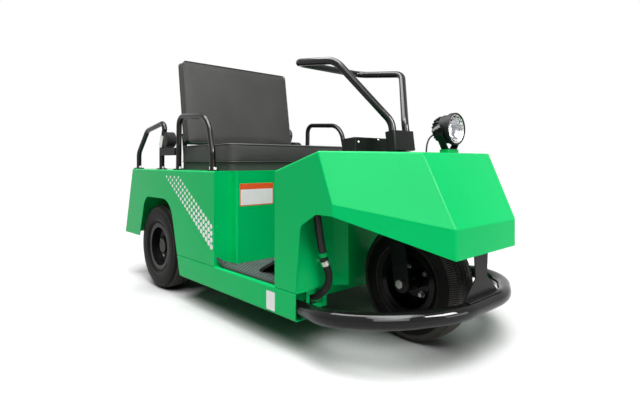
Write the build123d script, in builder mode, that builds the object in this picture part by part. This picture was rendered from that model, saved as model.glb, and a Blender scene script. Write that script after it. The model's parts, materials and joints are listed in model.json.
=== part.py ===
from build123d import *
import os
from math import cos, radians, sin, tan

# Electric three-wheeled personnel carrier, in millimetres.
# X is forward, Y is to the left and Z is up from the ground.
# The origin lies on the ground under the middle of the length.

# Running gear
wheelbase = 1320.0
wheel_inset = 78.0
tail_overhang = 400.0
nose_overhang = 298.0
tyre_diameter = 424.0
tyre_width = 126.0
bead_diameter = 204.0
bead_width = 92.0
flange_height = 16.0
rim_sheet = 5.0
dish_depth = 12.0
front_hub_diameter = 64.0
stub_diameter = 30.0
stub_reach = 20.0
drum_diameter = 164.0
drum_depth = 50.0
cap_diameter = 68.0
cap_length = 34.0
cap_wall = 10.0
plate_inset = 62.0
fit = 0.05
seat_gap = 0.3

# Body
body_width = 862.0
sheet = 4.0
fold = 8.0
deck_z = 606.0
floor_z = 213.0
sill_base_z = 117.0
sill_flange = 60.0
skirt_z = 249.0
tail_top_ahead = -290.0
panel_front_ahead = 617.0
box_front_ahead = 660.0
strip_width = 80.0
deck_front_ahead = 28.0
floor_sheet = 5.0
mat_thickness = 8.0

# Rear wheel arch, from the tyre's edge and top
arch_gap = 40.0
arch_rear_foot_in = 18.0
arch_rear_top_in = 94.0
arch_front_top_in = 18.0
arch_front_floor_out = 57.0
arch_rear_radius = 78.0
arch_front_radius = 118.0
tub_clearance = 21.0
tub_set_back = 40.0

# Cowl, measured ahead of the front axle
cowl_rear = -279.0
cowl_ridge = -54.0
cowl_shoulder = 13.0
cowl_brow = 180.0
cowl_front = 291.0
cowl_rear_z = 615.0
cowl_ridge_z = 679.0
cowl_shoulder_z = 517.0
cowl_brow_z = 675.0
cowl_nose_z = 443.0
cowl_front_base_z = 351.0
cowl_side_base_z = 480.0
cowl_nose_half = 190.0
nose_corner = 18.0
pillar_front = -165.0
pillar_top = -140.0
pillar_top_z = 435.0
pillar_peak = -62.0
pillar_corner = 24.0
bulkhead_ahead = -172.0

# Wheel tunnel in the bulkhead
tunnel_gap = 24.5
tunnel_clear = 50.0
tunnel_front = -132.0
tunnel_base_z = 182.0
tunnel_flare = 40.0

# Frame
rail_gap = 31.0
rail_width = 40.0
rail_height = 70.0
kick_front_ahead = 350.0
kick_rear_ahead = 245.0
rail_rear_ahead = -334.0
cross_width = 40.0
front_cross_set_back = 137.0
front_plate_width = 92.0

# Rear axle, springs, motor and battery
axle_tube_diameter = 64.0
gear_case_diameter = 176.0
gear_case_width = 150.0
leaf = 8.0
leaf_width = 48.0
spring_half = 225.0
spring_rise = 30.0
spring_hanger = 12.0
hanger_length = 24.0
motor_diameter = 152.0
motor_length = 240.0
motor_gap = 8.0
motor_rise = 20.0
motor_mount_width = 120.0
motor_mount_height = 100.0
battery_width = 600.0
battery_height = 352.0
battery_gap = 20.0

# Steering, along its raked axis from the front axle
rake = 8.0
steer_range = 45.0
stem_diameter = 40.0
head_diameter = 62.0
head_gap = 10.0
head_length = 180.0
crown_gap = 24.0
crown_thickness = 16.0
blade_gap = 14.0
blade_thickness = 8.0
blade_width = 66.0
hub_gap = 5.0
axle_bolt = 20.0
column_gap = 36.0
column_height = 74.0
column_width = 122.0
column_depth = 46.0
column_corner = 8.0
socket_depth = 40.0
tiller_tube = 29.0
tiller_leg_y = 40.0
tiller_half = 197.0
tiller_leg_rise = 36.0
tiller_elbow_rise = 281.0
tiller_elbow_back = 107.0
tiller_grip_rise = 345.0
tiller_grip_back = 346.0
tiller_leg_bend = 70.0
tiller_elbow_bend = 65.0
tiller_grip_bend = 50.0

# Bumper and its stay
bumper_tube = 52.0
bumper_z = 152.0
bumper_rise = 28.0
bumper_leg_length = 88.0
bumper_flat_inset = 256.0
stay_set_back = 25.0
stay_half = 44.0
stay_foot_half = 105.0
stay_lap = 24.0
stay_neck = 62.0
stay_taper = 8.0

# Hoops on the rear body
hoop_tube = 25.0
hoop_inset = 33.0
foot_diameter = 52.0
foot_thickness = 5.0
armrest_rear = 214.0
armrest_front = 546.0
armrest_rise = 252.0
armrest_front_drop = 16.0
armrest_top_rear = 220.0
armrest_top_front = 504.0
armrest_knee = 543.0
armrest_knee_rise = 80.0
armrest_rear_bend = 42.0
armrest_front_bend = 100.0
armrest_knee_bend = 70.0
rail_rear = -288.0
rail_front = 20.0
rail_front_knee_rise = 102.0
rail_rise = 237.0
rail_top_front = 66.0
rail_knee_rise = 84.0
rail_shoulder = -165.0
rail_shoulder_rise = 203.0
rail_knee_bend = 50.0
rail_shoulder_bend = 60.0
rail_top_bend = 30.0
rail_front_bend = 20.0
reel_ahead = 100.0
reel_rise = 146.0
reel_left_drop = 28.0
reel_diameter = 72.0
reel_width = 40.0
reel_post = 50.0
reel_tray_drop = 76.0
reel_tray_height = 36.0
reel_tray_width = 32.0

# Seat
seat_rear_ahead = 160.0
seat_set_back = 28.0
seat_inset = 65.0
seat_base_height = 34.0
seat_base_inset = 6.0
seat_base_corner = 30.0
cushion_height = 86.0
cushion_corner = 36.0
cushion_edge = 14.0
back_inset = 109.0
back_thickness = 58.0
back_corner = 16.0
back_edge = 6.0
back_base_z = 742.0
back_top_z = 1163.0
back_lean = 8.5
bracket_inset = 8.0
bracket_width = 22.0
bracket_sheet = 6.0
bracket_reach = 54.0

# Dash box and pedals
dash_front = -168.0
dash_rear = -243.0
dash_half = 148.0
dash_top_z = 737.0
dash_drop = 5.0
dash_lean = 12.0
pedal_set_back = 302.0
pedal_inset = 101.0
pedal_pitch = 84.0
pedal_width = 66.0
pedal_heel = 24.0
pedal_heel_height = 8.0
pedal_reach = 146.0
pedal_rise = 80.0
pedal_sheet = 8.0

# Lamps and conduit
lamp_diameter = 110.0
lamp_z = 757.0
lamp_front_ahead = 174.0
lens_inset = 7.0
lens_depth = 14.0
lens_thickness = 10.0
pad_margin = 4.0
yoke_strap = 4.0
yoke_width = 26.0
yoke_gap = 2.0
yoke_set_back = 31.0
yoke_foot = 56.0
yoke_bend_drop = 24.0
knob_diameter = 22.0
knob_length = 12.0
pivot_diameter = 10.0
lead_diameter = 6.0
conduit_diameter = 26.0
conduit_stand_off = 36.0
clip_wall = 2.0
clip_strap = 8.0
clip_width = 14.0
tail_lamp_inset = 101.0
tail_lamp_rise = 221.0
tail_lamp_diameter = 76.0
tail_lamp_depth = 18.0

overall_length = tail_overhang + wheelbase + nose_overhang
rear_axle_x = tail_overhang - overall_length / 2
front_axle_x = rear_axle_x + wheelbase
wheel_r = tyre_diameter / 2
body_half = body_width / 2
inner_half = body_half - sheet
half_w = tyre_width / 2
bead_r = bead_diameter / 2
track = body_width - 2 * wheel_inset
box_half = body_half - strip_width
arch_top_z = tyre_diameter + arch_gap
arch_rear_foot = arch_rear_foot_in - wheel_r
arch_rear_top = arch_rear_top_in - wheel_r
arch_front_top = wheel_r - arch_front_top_in
arch_front_floor = wheel_r + arch_front_floor_out
tub_wall_y = track / 2 - half_w - tub_clearance - sheet
rail_y = tub_wall_y - rail_gap - rail_width / 2
sweep_half = (wheel_r + half_w) * sin(radians(steer_range))
tunnel_half = sweep_half + tunnel_gap
tunnel_rear = -wheel_r - tunnel_clear
tunnel_top_z = tyre_diameter + tunnel_clear
axle_tube_r = axle_tube_diameter / 2
sides = (("left", 1), ("right", -1))


def ahead(distance):
    return rear_axle_x + distance


def nose(distance):
    return front_axle_x + distance


def wall(y):
    """The upright plane along the vehicle at a distance to its left."""
    return Plane.XZ.offset(-y)


def span(low, high):
    return (low + high) / 2


os.makedirs("parts", exist_ok=True)


def hand_in(part, label):
    part.label = label
    export_step(part, f"parts/{label}.step")


def bar(x0, x1, y0, y1, z0, z1, mode=Mode.ADD):
    """A straight block between two corners, in the open part."""
    with Locations((span(x0, x1), span(y0, y1), span(z0, z1))):
        Box(x1 - x0, y1 - y0, z1 - z0, mode=mode)


def outline(points, plane):
    """A closed straight-sided face on a plane."""
    with BuildSketch(plane) as face:
        with BuildLine():
            Polyline(*points, close=True)
        make_face()
    return face.sketch


def bent_rod(points, radii, diameter):
    """A round rod along straight runs joined by tangent bends."""
    with BuildPart() as rod:
        with BuildLine() as path:
            FilletPolyline(*points, radius=radii)
        with BuildSketch(path.line ^ 0):
            Circle(diameter / 2)
        sweep(path=path.wire())
    return rod.part


def arch_front_x(z):
    slope = (arch_front_floor - arch_front_top) / (arch_top_z - floor_z)
    return ahead(arch_front_floor + (floor_z - z) * slope)


# Frame of two raised rails, cross members and the bumper's front plates
rail_top_z = floor_z - floor_sheet
rail_base_z = rail_top_z - rail_height
spring_seat_z = wheel_r + axle_tube_r + seat_gap
rail_raised_z = spring_seat_z + 3 * leaf + spring_rise + spring_hanger
plate_x = nose(pillar_front) - sill_flange / 4
front_cross_x = plate_x - front_cross_set_back
with BuildPart() as frame:
    for name, side in sides:
        rail_profile = (
            (front_cross_x + cross_width, rail_base_z),
            (ahead(kick_front_ahead), rail_base_z),
            (ahead(kick_rear_ahead), rail_raised_z),
            (ahead(rail_rear_ahead), rail_raised_z),
            (ahead(rail_rear_ahead), rail_raised_z + rail_height),
            (ahead(kick_rear_ahead) + rail_height / 4, rail_raised_z + rail_height),
            (ahead(kick_front_ahead) + rail_height / 4, rail_top_z),
            (front_cross_x + cross_width, rail_top_z),
        )
        extrude(outline(rail_profile, wall(side * rail_y)), amount=rail_width / 2, both=True)
        flange_y = body_half - sill_flange
        inner_y = flange_y - front_plate_width
        y0, y1 = sorted((side * inner_y, side * (flange_y - seat_gap)))
        bar(plate_x - sheet, plate_x, y0, y1, rail_base_z, rail_top_z)
        y0, y1 = sorted((side * inner_y, side * (inner_y + sheet)))
        bar(front_cross_x, plate_x, y0, y1, rail_base_z, rail_top_z)
        hole_y = side * span(inner_y + sheet, flange_y)
        with Locations((plate_x, hole_y, span(rail_base_z, rail_top_z))):
            Box(4 * sheet, flange_y - inner_y - 8 * sheet, rail_height / 2, mode=Mode.SUBTRACT)
    cross_tops = (
        (front_cross_x, inner_half - seat_gap, rail_base_z, rail_top_z),
        (ahead(panel_front_ahead), inner_half - seat_gap, rail_base_z, rail_top_z),
        (ahead(kick_front_ahead) + cross_width, inner_half - seat_gap, rail_base_z, rail_top_z),
        (ahead(rail_rear_ahead), inner_half, rail_raised_z, rail_raised_z + rail_height),
    )
    for cross_x, half, base_z, top_z in cross_tops:
        bar(cross_x, cross_x + cross_width, -half, half, base_z, top_z)
hand_in(frame.part, "chassis_frame")

# Channel sills along both sides, cut at the rear on the wheel arch's line
with BuildPart() as sills:
    for name, side in sides:
        sill_end_x = nose(pillar_front)
        web = side * inner_half
        edge = side * (body_half - sill_flange)
        channel = (
            (side * body_half, sill_base_z),
            (edge, sill_base_z),
            (edge, sill_base_z + sheet),
            (web, sill_base_z + sheet),
            (web, floor_z - sheet),
            (edge, floor_z - sheet),
            (edge, floor_z),
            (side * body_half, floor_z),
        )
        extrude(outline(channel, Plane.YZ.offset(ahead(0))), amount=sill_end_x - ahead(0))
    end_x = arch_front_x(sill_base_z)
    end_slope = Vector(floor_z - sill_base_z, 0, end_x - arch_front_x(floor_z))
    split(bisect_by=Plane((end_x, 0, sill_base_z), z_dir=end_slope), keep=Keep.TOP)
    sill_folds = sills.edges().filter_by(Axis.X).group_by(Axis.Y)
    fillet(sill_folds[0] + sill_folds[-1], fold)
hand_in(sills.part, "side_sills")

# Floor plate between the sills, notched for the wheel tunnel
tunnel_rear_x = nose(tunnel_rear)
bulkhead_x = nose(bulkhead_ahead)
with BuildPart() as floor:
    floor_half = body_half - sill_flange - seat_gap
    bar(ahead(panel_front_ahead), bulkhead_x, -floor_half, floor_half, floor_z - floor_sheet, floor_z)
    notch_half = tunnel_half + seat_gap
    notch_x = tunnel_rear_x - seat_gap
    bar(notch_x, bulkhead_x, -notch_half, notch_half, 0, floor_z, mode=Mode.SUBTRACT)
hand_in(floor.part, "floor_plate")

# Rubber mat with rounded corners
with BuildPart() as mat:
    mat_front_x = bulkhead_x - 2 * seat_gap
    mat_rear_x = ahead(box_front_ahead) + seat_gap
    mat_half = inner_half - 2 * sheet
    with BuildSketch(Plane.XY.offset(floor_z)):
        with Locations((span(mat_rear_x, mat_front_x), 0)):
            RectangleRounded(mat_front_x - mat_rear_x, 2 * mat_half, 4 * mat_thickness)
        with Locations((span(notch_x, mat_front_x), 0)):
            Rectangle(mat_front_x - notch_x, 2 * notch_half, mode=Mode.SUBTRACT)
    extrude(amount=mat_thickness)
hand_in(mat.part, "floor_mat")


def arch_sketch(plane, base_z, grow, set_back=0):
    """The rear wheel arch as a face, open to a lower height, grown by a margin."""
    lean = (arch_rear_top - arch_rear_foot) / (arch_top_z - skirt_z)
    rear_top = ahead(arch_rear_top) - grow - set_back
    rear_foot = rear_top - (arch_top_z - base_z) * lean
    with BuildSketch(plane) as arch:
        with BuildLine():
            FilletPolyline(
                (rear_foot, base_z),
                (rear_top, arch_top_z + grow),
                (ahead(arch_front_top) + grow, arch_top_z + grow),
                (arch_front_x(base_z) + grow, base_z),
                radius=(arch_rear_radius, arch_front_radius),
            )
            Line((arch_front_x(base_z) + grow, base_z), (rear_foot, base_z))
        make_face()
    return arch.sketch


# Rear side panels with the wheel arches and folded top flanges
tail_slope = (tail_overhang + tail_top_ahead) / (deck_z - skirt_z)
with BuildPart() as side_panels:
    for name, side in sides:
        panel = (
            (ahead(-tail_overhang), skirt_z),
            (ahead(tail_top_ahead), deck_z),
            (ahead(panel_front_ahead), deck_z),
            (ahead(panel_front_ahead), floor_z),
            (ahead(0), floor_z),
            (ahead(0), skirt_z),
        )
        panel_wall = wall(side * inner_half)
        extrude(outline(panel, panel_wall), amount=-side * sheet)
        extrude(arch_sketch(panel_wall, sill_base_z, 0), amount=-side * sheet, mode=Mode.SUBTRACT)
        y0, y1 = sorted((side * (body_half - sill_flange), side * inner_half))
        bar(ahead(tail_top_ahead) + sheet, ahead(panel_front_ahead) - sheet, y0, y1, deck_z - sheet, deck_z)
    top_folds = side_panels.edges().filter_by(Axis.X).filter_by_position(Axis.Z, deck_z - 1, deck_z + 1)
    fillet(top_folds.group_by(Axis.Y)[0] + top_folds.group_by(Axis.Y)[-1], fold)
hand_in(side_panels.part, "side_panels")

# Sloping tail panel between the side panels
with BuildPart() as tail:
    tail_profile = (
        (ahead(-tail_overhang), skirt_z),
        (ahead(tail_top_ahead), deck_z),
        (ahead(tail_top_ahead) + sheet, deck_z),
        (ahead(-tail_overhang) + sheet, skirt_z),
    )
    extrude(outline(tail_profile, wall(0)), amount=inner_half - seat_gap, both=True)
hand_in(tail.part, "tail_panel")

# Load deck behind the seat and the seat's platform before it
deck_half = body_half - sill_flange - seat_gap
with BuildPart() as deck:
    deck_rear_x = ahead(tail_top_ahead) + sheet + seat_gap
    bar(deck_rear_x, ahead(deck_front_ahead), -deck_half, deck_half, deck_z - sheet, deck_z)
hand_in(deck.part, "load_deck")

with BuildPart() as platform:
    platform_rear_x = ahead(deck_front_ahead) + seat_gap
    platform_front_x = ahead(panel_front_ahead) - sheet
    bar(platform_rear_x, platform_front_x, -deck_half, deck_half, deck_z - sheet, deck_z)
    tongue_half = box_half - sheet - seat_gap
    tongue_x = ahead(box_front_ahead) - sheet - seat_gap
    bar(platform_front_x, tongue_x, -tongue_half, tongue_half, deck_z - sheet, deck_z)
hand_in(platform.part, "seat_platform")

# Front of the seat box: a middle panel that stands forward of two side strips
with BuildPart() as box_front:
    with BuildSketch(Plane.XY.offset(floor_z)):
        with BuildLine():
            strip_x = ahead(panel_front_ahead)
            box_x = ahead(box_front_ahead)
            wide = inner_half - seat_gap
            Polyline(
                (strip_x, -wide),
                (strip_x, -box_half),
                (box_x, -box_half),
                (box_x, box_half),
                (strip_x, box_half),
                (strip_x, wide),
                (strip_x - sheet, wide),
                (strip_x - sheet, box_half - sheet),
                (box_x - sheet, box_half - sheet),
                (box_x - sheet, sheet - box_half),
                (strip_x - sheet, sheet - box_half),
                (strip_x - sheet, -wide),
                close=True,
            )
        make_face()
    extrude(amount=deck_z - floor_z)
    fillet(box_front.edges().filter_by(Axis.Z).group_by(Axis.X)[-1], fold)
hand_in(box_front.part, "seat_box_front")

# Tubs that close the rear wheel arches to the inside
with BuildPart() as tubs:
    lip = 2 * sheet
    tub_base_z = skirt_z + 4 * sheet
    for name, side in sides:
        outer_wall = wall(side * (inner_half - seat_gap))
        tub_depth = inner_half - seat_gap - tub_wall_y
        extrude(arch_sketch(outer_wall, tub_base_z, lip + sheet, tub_set_back), amount=side * tub_depth)
        wheel_space = arch_sketch(outer_wall, tub_base_z, lip, tub_set_back)
        extrude(wheel_space, amount=side * (tub_depth - sheet), mode=Mode.SUBTRACT)
hand_in(tubs.part, "wheel_tubs")

# Cowl of folded sheet: profile, side bands and slanting diagonals
roof = (
    (nose(cowl_rear), cowl_rear_z),
    (nose(cowl_ridge), cowl_ridge_z),
    (nose(cowl_brow), cowl_brow_z),
    (nose(cowl_front), cowl_nose_z),
    (nose(cowl_front), cowl_front_base_z),
)
underside = (
    (nose(cowl_shoulder), cowl_side_base_z),
    (nose(pillar_peak), cowl_side_base_z),
    (nose(pillar_top), pillar_top_z),
    (nose(pillar_front), floor_z),
    (nose(cowl_rear), floor_z),
)
cowl_facets = []
for name, side in sides:
    shoulder = Vector(nose(cowl_shoulder), side * body_half, cowl_shoulder_z)
    ridge = Vector(nose(cowl_ridge), side * body_half, cowl_ridge_z)
    corner = Vector(nose(cowl_front), side * cowl_nose_half, cowl_nose_z)
    across = corner - shoulder
    cowl_facets.append(Plane(shoulder, z_dir=across.cross(Vector(0, 0, -side))))
    cowl_facets.append(Plane(shoulder, z_dir=across.cross(ridge - shoulder) * -side))


def shifted(points, distance):
    """An open line of points moved to its right, mitred at the corners."""
    moved = []
    spots = [Vector(*point) for point in points]
    turns = [(b - a).normalized() for a, b in zip(spots, spots[1:])]
    for spot, before, after in zip(spots, turns[:1] + turns, turns + turns[-1:]):
        right = Vector(before.Y + after.Y, -before.X - after.X)
        scale = distance / (1 + before.dot(after))
        moved.append((spot.X + right.X * scale, spot.Y + right.Y * scale))
    return moved


def cowl_form(profile, half, inset):
    with BuildPart() as form:
        extrude(outline(profile, wall(0)), amount=half, both=True)
        for facet in cowl_facets:
            split(bisect_by=facet.offset(-inset), keep=Keep.BOTTOM)
    return form.part


steer_plane = Plane(
    (front_axle_x, 0, wheel_r),
    x_dir=(cos(radians(rake)), 0, sin(radians(rake))),
    z_dir=(-sin(radians(rake)), 0, cos(radians(rake))),
)
lining = shifted(roof, sheet)
rear_drop = (lining[1][1] - lining[0][1]) / (lining[1][0] - lining[0][0])
reach = 10 * sheet
hollow = (
    (lining[0][0] - reach, lining[0][1] - reach * rear_drop),
    *lining[1:4],
    (lining[4][0], floor_z - reach),
    (lining[0][0] - reach, floor_z - reach),
)
lamp_r = lamp_diameter / 2
lamp_pad_x = nose(lamp_front_ahead) - yoke_set_back
pad_half = yoke_foot / 2 + pad_margin
pad_length = yoke_width + 2 * pad_margin
pad_z = cowl_brow_z + 3 * sheet


def cowl_folds(form):
    """The cowl's edges that lie on none of its open sides."""
    open_sides = form.faces().filter_by(lambda f: f.normal_at().Z < -0.01 or f.normal_at().X < -0.9)
    open_spots = [edge.center() for edge in open_sides.edges()]
    return form.edges().filter_by(lambda e: all((e.center() - spot).length > fit for spot in open_spots))


with BuildPart() as cowl:
    add(cowl_form(roof + underside, body_half, 0))
    fillet(cowl_folds(cowl).filter_by(Axis.Z).group_by(Axis.X)[-1], nose_corner)
    other_folds = cowl_folds(cowl).filter_by(Axis.Z, reverse=True)
    shoulder_folds = cowl_folds(cowl).filter_by(Axis.Z).group_by(Axis.X)[0]
    fillet(other_folds + shoulder_folds, fold)
    pillar_edges = cowl.edges().filter_by(Axis.Y).filter_by_position(Axis.Z, pillar_top_z - 1, pillar_top_z + 1)
    fillet(pillar_edges, pillar_corner)
    bar(lamp_pad_x - pad_length / 2, lamp_pad_x + pad_length / 2, -pad_half, pad_half, cowl_brow_z, pad_z)
    add(cowl_form(hollow, inner_half, sheet), mode=Mode.SUBTRACT)
    with Locations(steer_plane):
        Cylinder(stem_diameter, 6 * wheel_r, mode=Mode.SUBTRACT)
hand_in(cowl.part, "cowl")

# Bulkhead with the tunnel that the front wheel turns in
with BuildPart() as bulkhead:
    bulkhead_half = inner_half - seat_gap
    lean = (cowl_ridge_z - cowl_rear_z) / (cowl_ridge - cowl_rear)
    bulkhead_top = cowl_rear_z + lean * (bulkhead_ahead - cowl_rear) - sheet / cos(lean) - seat_gap
    bulkhead_front_x = bulkhead_x + sheet
    bar(bulkhead_x, bulkhead_front_x, -bulkhead_half, bulkhead_half, floor_z, bulkhead_top)
    bar(tunnel_rear_x, bulkhead_front_x, -tunnel_half, tunnel_half, floor_z, tunnel_top_z)
    bar(tunnel_rear_x, tunnel_rear_x + sheet, -tunnel_half, tunnel_half, tunnel_base_z, floor_z)
    with BuildSketch(Plane.XY.offset(floor_z - floor_sheet)):
        for name, side in sides:
            with BuildLine():
                Polyline(
                    (bulkhead_front_x, side * (tunnel_half - sheet)),
                    (bulkhead_front_x, side * (tunnel_half + tunnel_flare)),
                    (nose(tunnel_front), side * tunnel_half),
                    (nose(tunnel_front), side * (tunnel_half - sheet)),
                    close=True,
                )
            make_face()
    extrude(amount=tunnel_top_z - floor_z + floor_sheet)
    clear_half = tunnel_half - sheet
    clear_x = tunnel_rear_x + sheet
    bar(clear_x, nose(tunnel_front), -clear_half, clear_half, 0, tunnel_top_z - sheet, mode=Mode.SUBTRACT)
hand_in(bulkhead.part, "bulkhead")

# Places along the steering axis
crown_base = wheel_r + crown_gap
head_base = crown_base + crown_thickness + head_gap
head_top = head_base + head_length
column_base = head_top + column_gap
column_top = column_base + column_height
blade_inner = half_w + blade_gap

# Steering head: a bored tube on two gussets from the bulkhead
head_bore = stem_diameter / 2 + fit
with BuildPart() as head:
    for name, side in sides:
        gusset = (
            (bulkhead_front_x + seat_gap, tunnel_top_z + sheet),
            (bulkhead_front_x + seat_gap, bulkhead_top - 4 * sheet),
            (nose(-tan(radians(rake)) * head_top), wheel_r + head_top * 0.97),
            (nose(-tan(radians(rake)) * head_base), wheel_r + head_base * 1.04),
        )
        extrude(outline(gusset, wall(side * head_diameter / 3)), amount=sheet / 2, both=True)
    with Locations(steer_plane):
        with Locations((0, 0, span(head_base, head_top))):
            Cylinder(head_diameter / 2, head_top - head_base)
            Cylinder(head_bore, 2 * head_top, mode=Mode.SUBTRACT)
hand_in(head.part, "steering_head")

# Fork with its stem, crown and two blades
with BuildPart(steer_plane) as fork:
    blade_outer = blade_inner + blade_thickness
    with Locations((0, 0, span(crown_base, column_base))):
        Cylinder(stem_diameter / 2, column_base - crown_base)
    with Locations((0, 0, crown_base + crown_thickness / 2)):
        Box(blade_width, 2 * blade_outer, crown_thickness)
    for name, side in sides:
        blade_y = side * span(blade_inner, blade_outer)
        with BuildSketch(Plane((front_axle_x, blade_y, wheel_r), x_dir=steer_plane.x_dir, z_dir=(0, -1, 0))):
            with Locations((0, crown_base / 2)):
                Rectangle(blade_width, crown_base)
            Circle(blade_width / 2)
            Circle(axle_bolt / 2 + fit, mode=Mode.SUBTRACT)
        extrude(amount=blade_thickness / 2, both=True)
hand_in(fork.part, "fork")

# Front axle bolt with a hexagon at each end
hub_half = blade_inner - hub_gap
with BuildPart() as axle_pin:
    with Locations(Plane.XZ.offset(0).shift_origin((front_axle_x, 0, wheel_r))):
        Cylinder(axle_bolt / 2, 2 * blade_outer + 2 * seat_gap)
        for name, side in sides:
            head_y = side * (blade_outer + seat_gap)
            with BuildSketch(Plane((front_axle_x, head_y, wheel_r), z_dir=(0, side, 0))):
                RegularPolygon(0.8 * axle_bolt, 6)
            extrude(amount=0.65 * axle_bolt)
hand_in(axle_pin.part, "front_axle")

# Box that clamps the tiller's legs on the stem
with BuildPart(steer_plane) as column:
    with Locations((0, 0, span(column_base, column_top))):
        Box(column_depth, column_width, column_top - column_base)
    fillet(column.edges().filter_by(Axis(steer_plane.origin, steer_plane.z_dir)), column_corner)
    for name, side in sides:
        with Locations((0, side * tiller_leg_y, column_top - socket_depth / 2)):
            Cylinder(tiller_tube / 2 + seat_gap, socket_depth, mode=Mode.SUBTRACT)
hand_in(column.part, "column_box")

# Tiller hoop
tiller_path = [
    (0, -tiller_leg_y, column_top - socket_depth),
    (0, -tiller_leg_y, column_top + tiller_leg_rise),
    (-tiller_elbow_back, -tiller_half, column_top + tiller_elbow_rise),
    (-tiller_grip_back, -tiller_half, column_top + tiller_grip_rise),
]
tiller_bends = (tiller_leg_bend, tiller_elbow_bend, tiller_grip_bend)
tiller_points = tiller_path + [(x, -y, z) for x, y, z in reversed(tiller_path)]
with BuildPart() as tiller:
    hoop = [steer_plane.from_local_coords(Vector(*point)) for point in tiller_points]
    add(bent_rod(hoop, tiller_bends + tiller_bends[::-1], tiller_tube))
hand_in(tiller.part, "tiller")


def turned(x, y, points):
    """A closed half section, distance outward then radius, turned about a wheel's axis."""
    section = outline(points, Plane((x, y, wheel_r), x_dir=(0, 1, 0), z_dir=(1, 0, 0)))
    revolve(section, axis=Axis((x, y, wheel_r), (0, 1, 0)))


# Wheels: a tyre and a rim with its hub for each place
flange_r = bead_r + flange_height
bead_half = bead_width / 2
wheels = (
    ("front", front_axle_x, 0, 1),
    ("rear_left", rear_axle_x, track / 2, 1),
    ("rear_right", rear_axle_x, -track / 2, -1),
)
stub_r = stub_diameter / 2
drum_r = drum_diameter / 2
cap_r = cap_diameter / 2
front_hub_r = front_hub_diameter / 2
for place, wheel_x, wheel_y, out in wheels:
    with BuildPart() as tyre:
        half_section = (
            (bead_half, bead_r + seat_gap),
            (bead_half, flange_r + 2 * seat_gap),
            (half_w - 2, bead_r + 0.35 * (wheel_r - bead_r)),
            (half_w, bead_r + 0.55 * (wheel_r - bead_r)),
            (half_w - 7, wheel_r - 16),
            (0.68 * half_w, wheel_r - 3),
            (0.3 * half_w, wheel_r),
        )
        turned(wheel_x, wheel_y, half_section + tuple((-a, r) for a, r in reversed(half_section)))
    hand_in(tyre.part, f"{place}_tyre")

    with BuildPart() as rim:
        half_rim = (
            (bead_half + seat_gap + rim_sheet, flange_r),
            (bead_half + seat_gap, flange_r),
            (bead_half + seat_gap, bead_r),
        )
        channel = half_rim + tuple((-a, r) for a, r in reversed(half_rim))
        floor_r = bead_r - rim_sheet
        rim_edge = bead_half + seat_gap + rim_sheet
        turned(wheel_x, wheel_y, channel + ((-rim_edge, floor_r), (rim_edge, floor_r)))
        dish = (
            (0, stub_r),
            (0, 0.62 * bead_r),
            (dish_depth, 0.8 * bead_r),
            (dish_depth, floor_r),
            (dish_depth + rim_sheet, floor_r),
            (dish_depth + rim_sheet, 0.78 * bead_r),
            (rim_sheet, 0.6 * bead_r),
            (rim_sheet, stub_r),
        )
        turned(wheel_x, wheel_y, [(out * a, r) for a, r in dish])
        if place == "front":
            bore_r = axle_bolt / 2 + fit
            hub = ((-hub_half, bore_r), (-hub_half, front_hub_r), (hub_half, front_hub_r), (hub_half, bore_r))
        else:
            bore_r = stub_r + fit
            cap_inner = cap_length - cap_wall
            hub = (
                (-drum_depth, bore_r),
                (-drum_depth, drum_r),
                (-rim_sheet, drum_r),
                (0, cap_r),
                (cap_length, cap_r),
                (cap_length, 0),
                (cap_inner, 0),
                (cap_inner, bore_r),
            )
        turned(wheel_x, wheel_y, [(out * a, r) for a, r in hub])
        if place == "front":
            with Locations(Plane((wheel_x, wheel_y, wheel_r), z_dir=(0, 1, 0))):
                Cylinder(bore_r, 4 * hub_half, mode=Mode.SUBTRACT)
    hand_in(rim.part, f"{place}_rim")

# Rear axle: tube, gear case, brake plates and wheel stubs
axle_frame = Plane((rear_axle_x, 0, wheel_r), z_dir=(0, 1, 0))
gear_r = gear_case_diameter / 2
plate_y = track / 2 - plate_inset
with BuildPart() as axle:
    with Locations(axle_frame):
        Cylinder(axle_tube_r, 2 * plate_y)
        Cylinder(gear_r, gear_case_width)
        Cylinder(stub_r, track + 2 * stub_reach)
        for name, side in sides:
            with Locations((0, 0, side * plate_y)):
                Cylinder(drum_r, 2 * sheet)
hand_in(axle.part, "rear_axle")

# Drive motor ahead of the gear case
with BuildPart() as motor:
    motor_x = rear_axle_x + gear_r + motor_gap + motor_diameter / 2
    motor_z = wheel_r + motor_rise
    with Locations(Plane((motor_x, 0, motor_z), z_dir=(0, 1, 0))):
        Cylinder(motor_diameter / 2, motor_length)
    mount_half = motor_mount_width / 2
    mount_z = span(wheel_r, motor_z) - motor_mount_height / 2
    mount_rear_x = rear_axle_x + gear_r + seat_gap
    bar(mount_rear_x, motor_x, -mount_half, mount_half, mount_z, mount_z + motor_mount_height)
hand_in(motor.part, "drive_motor")

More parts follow.
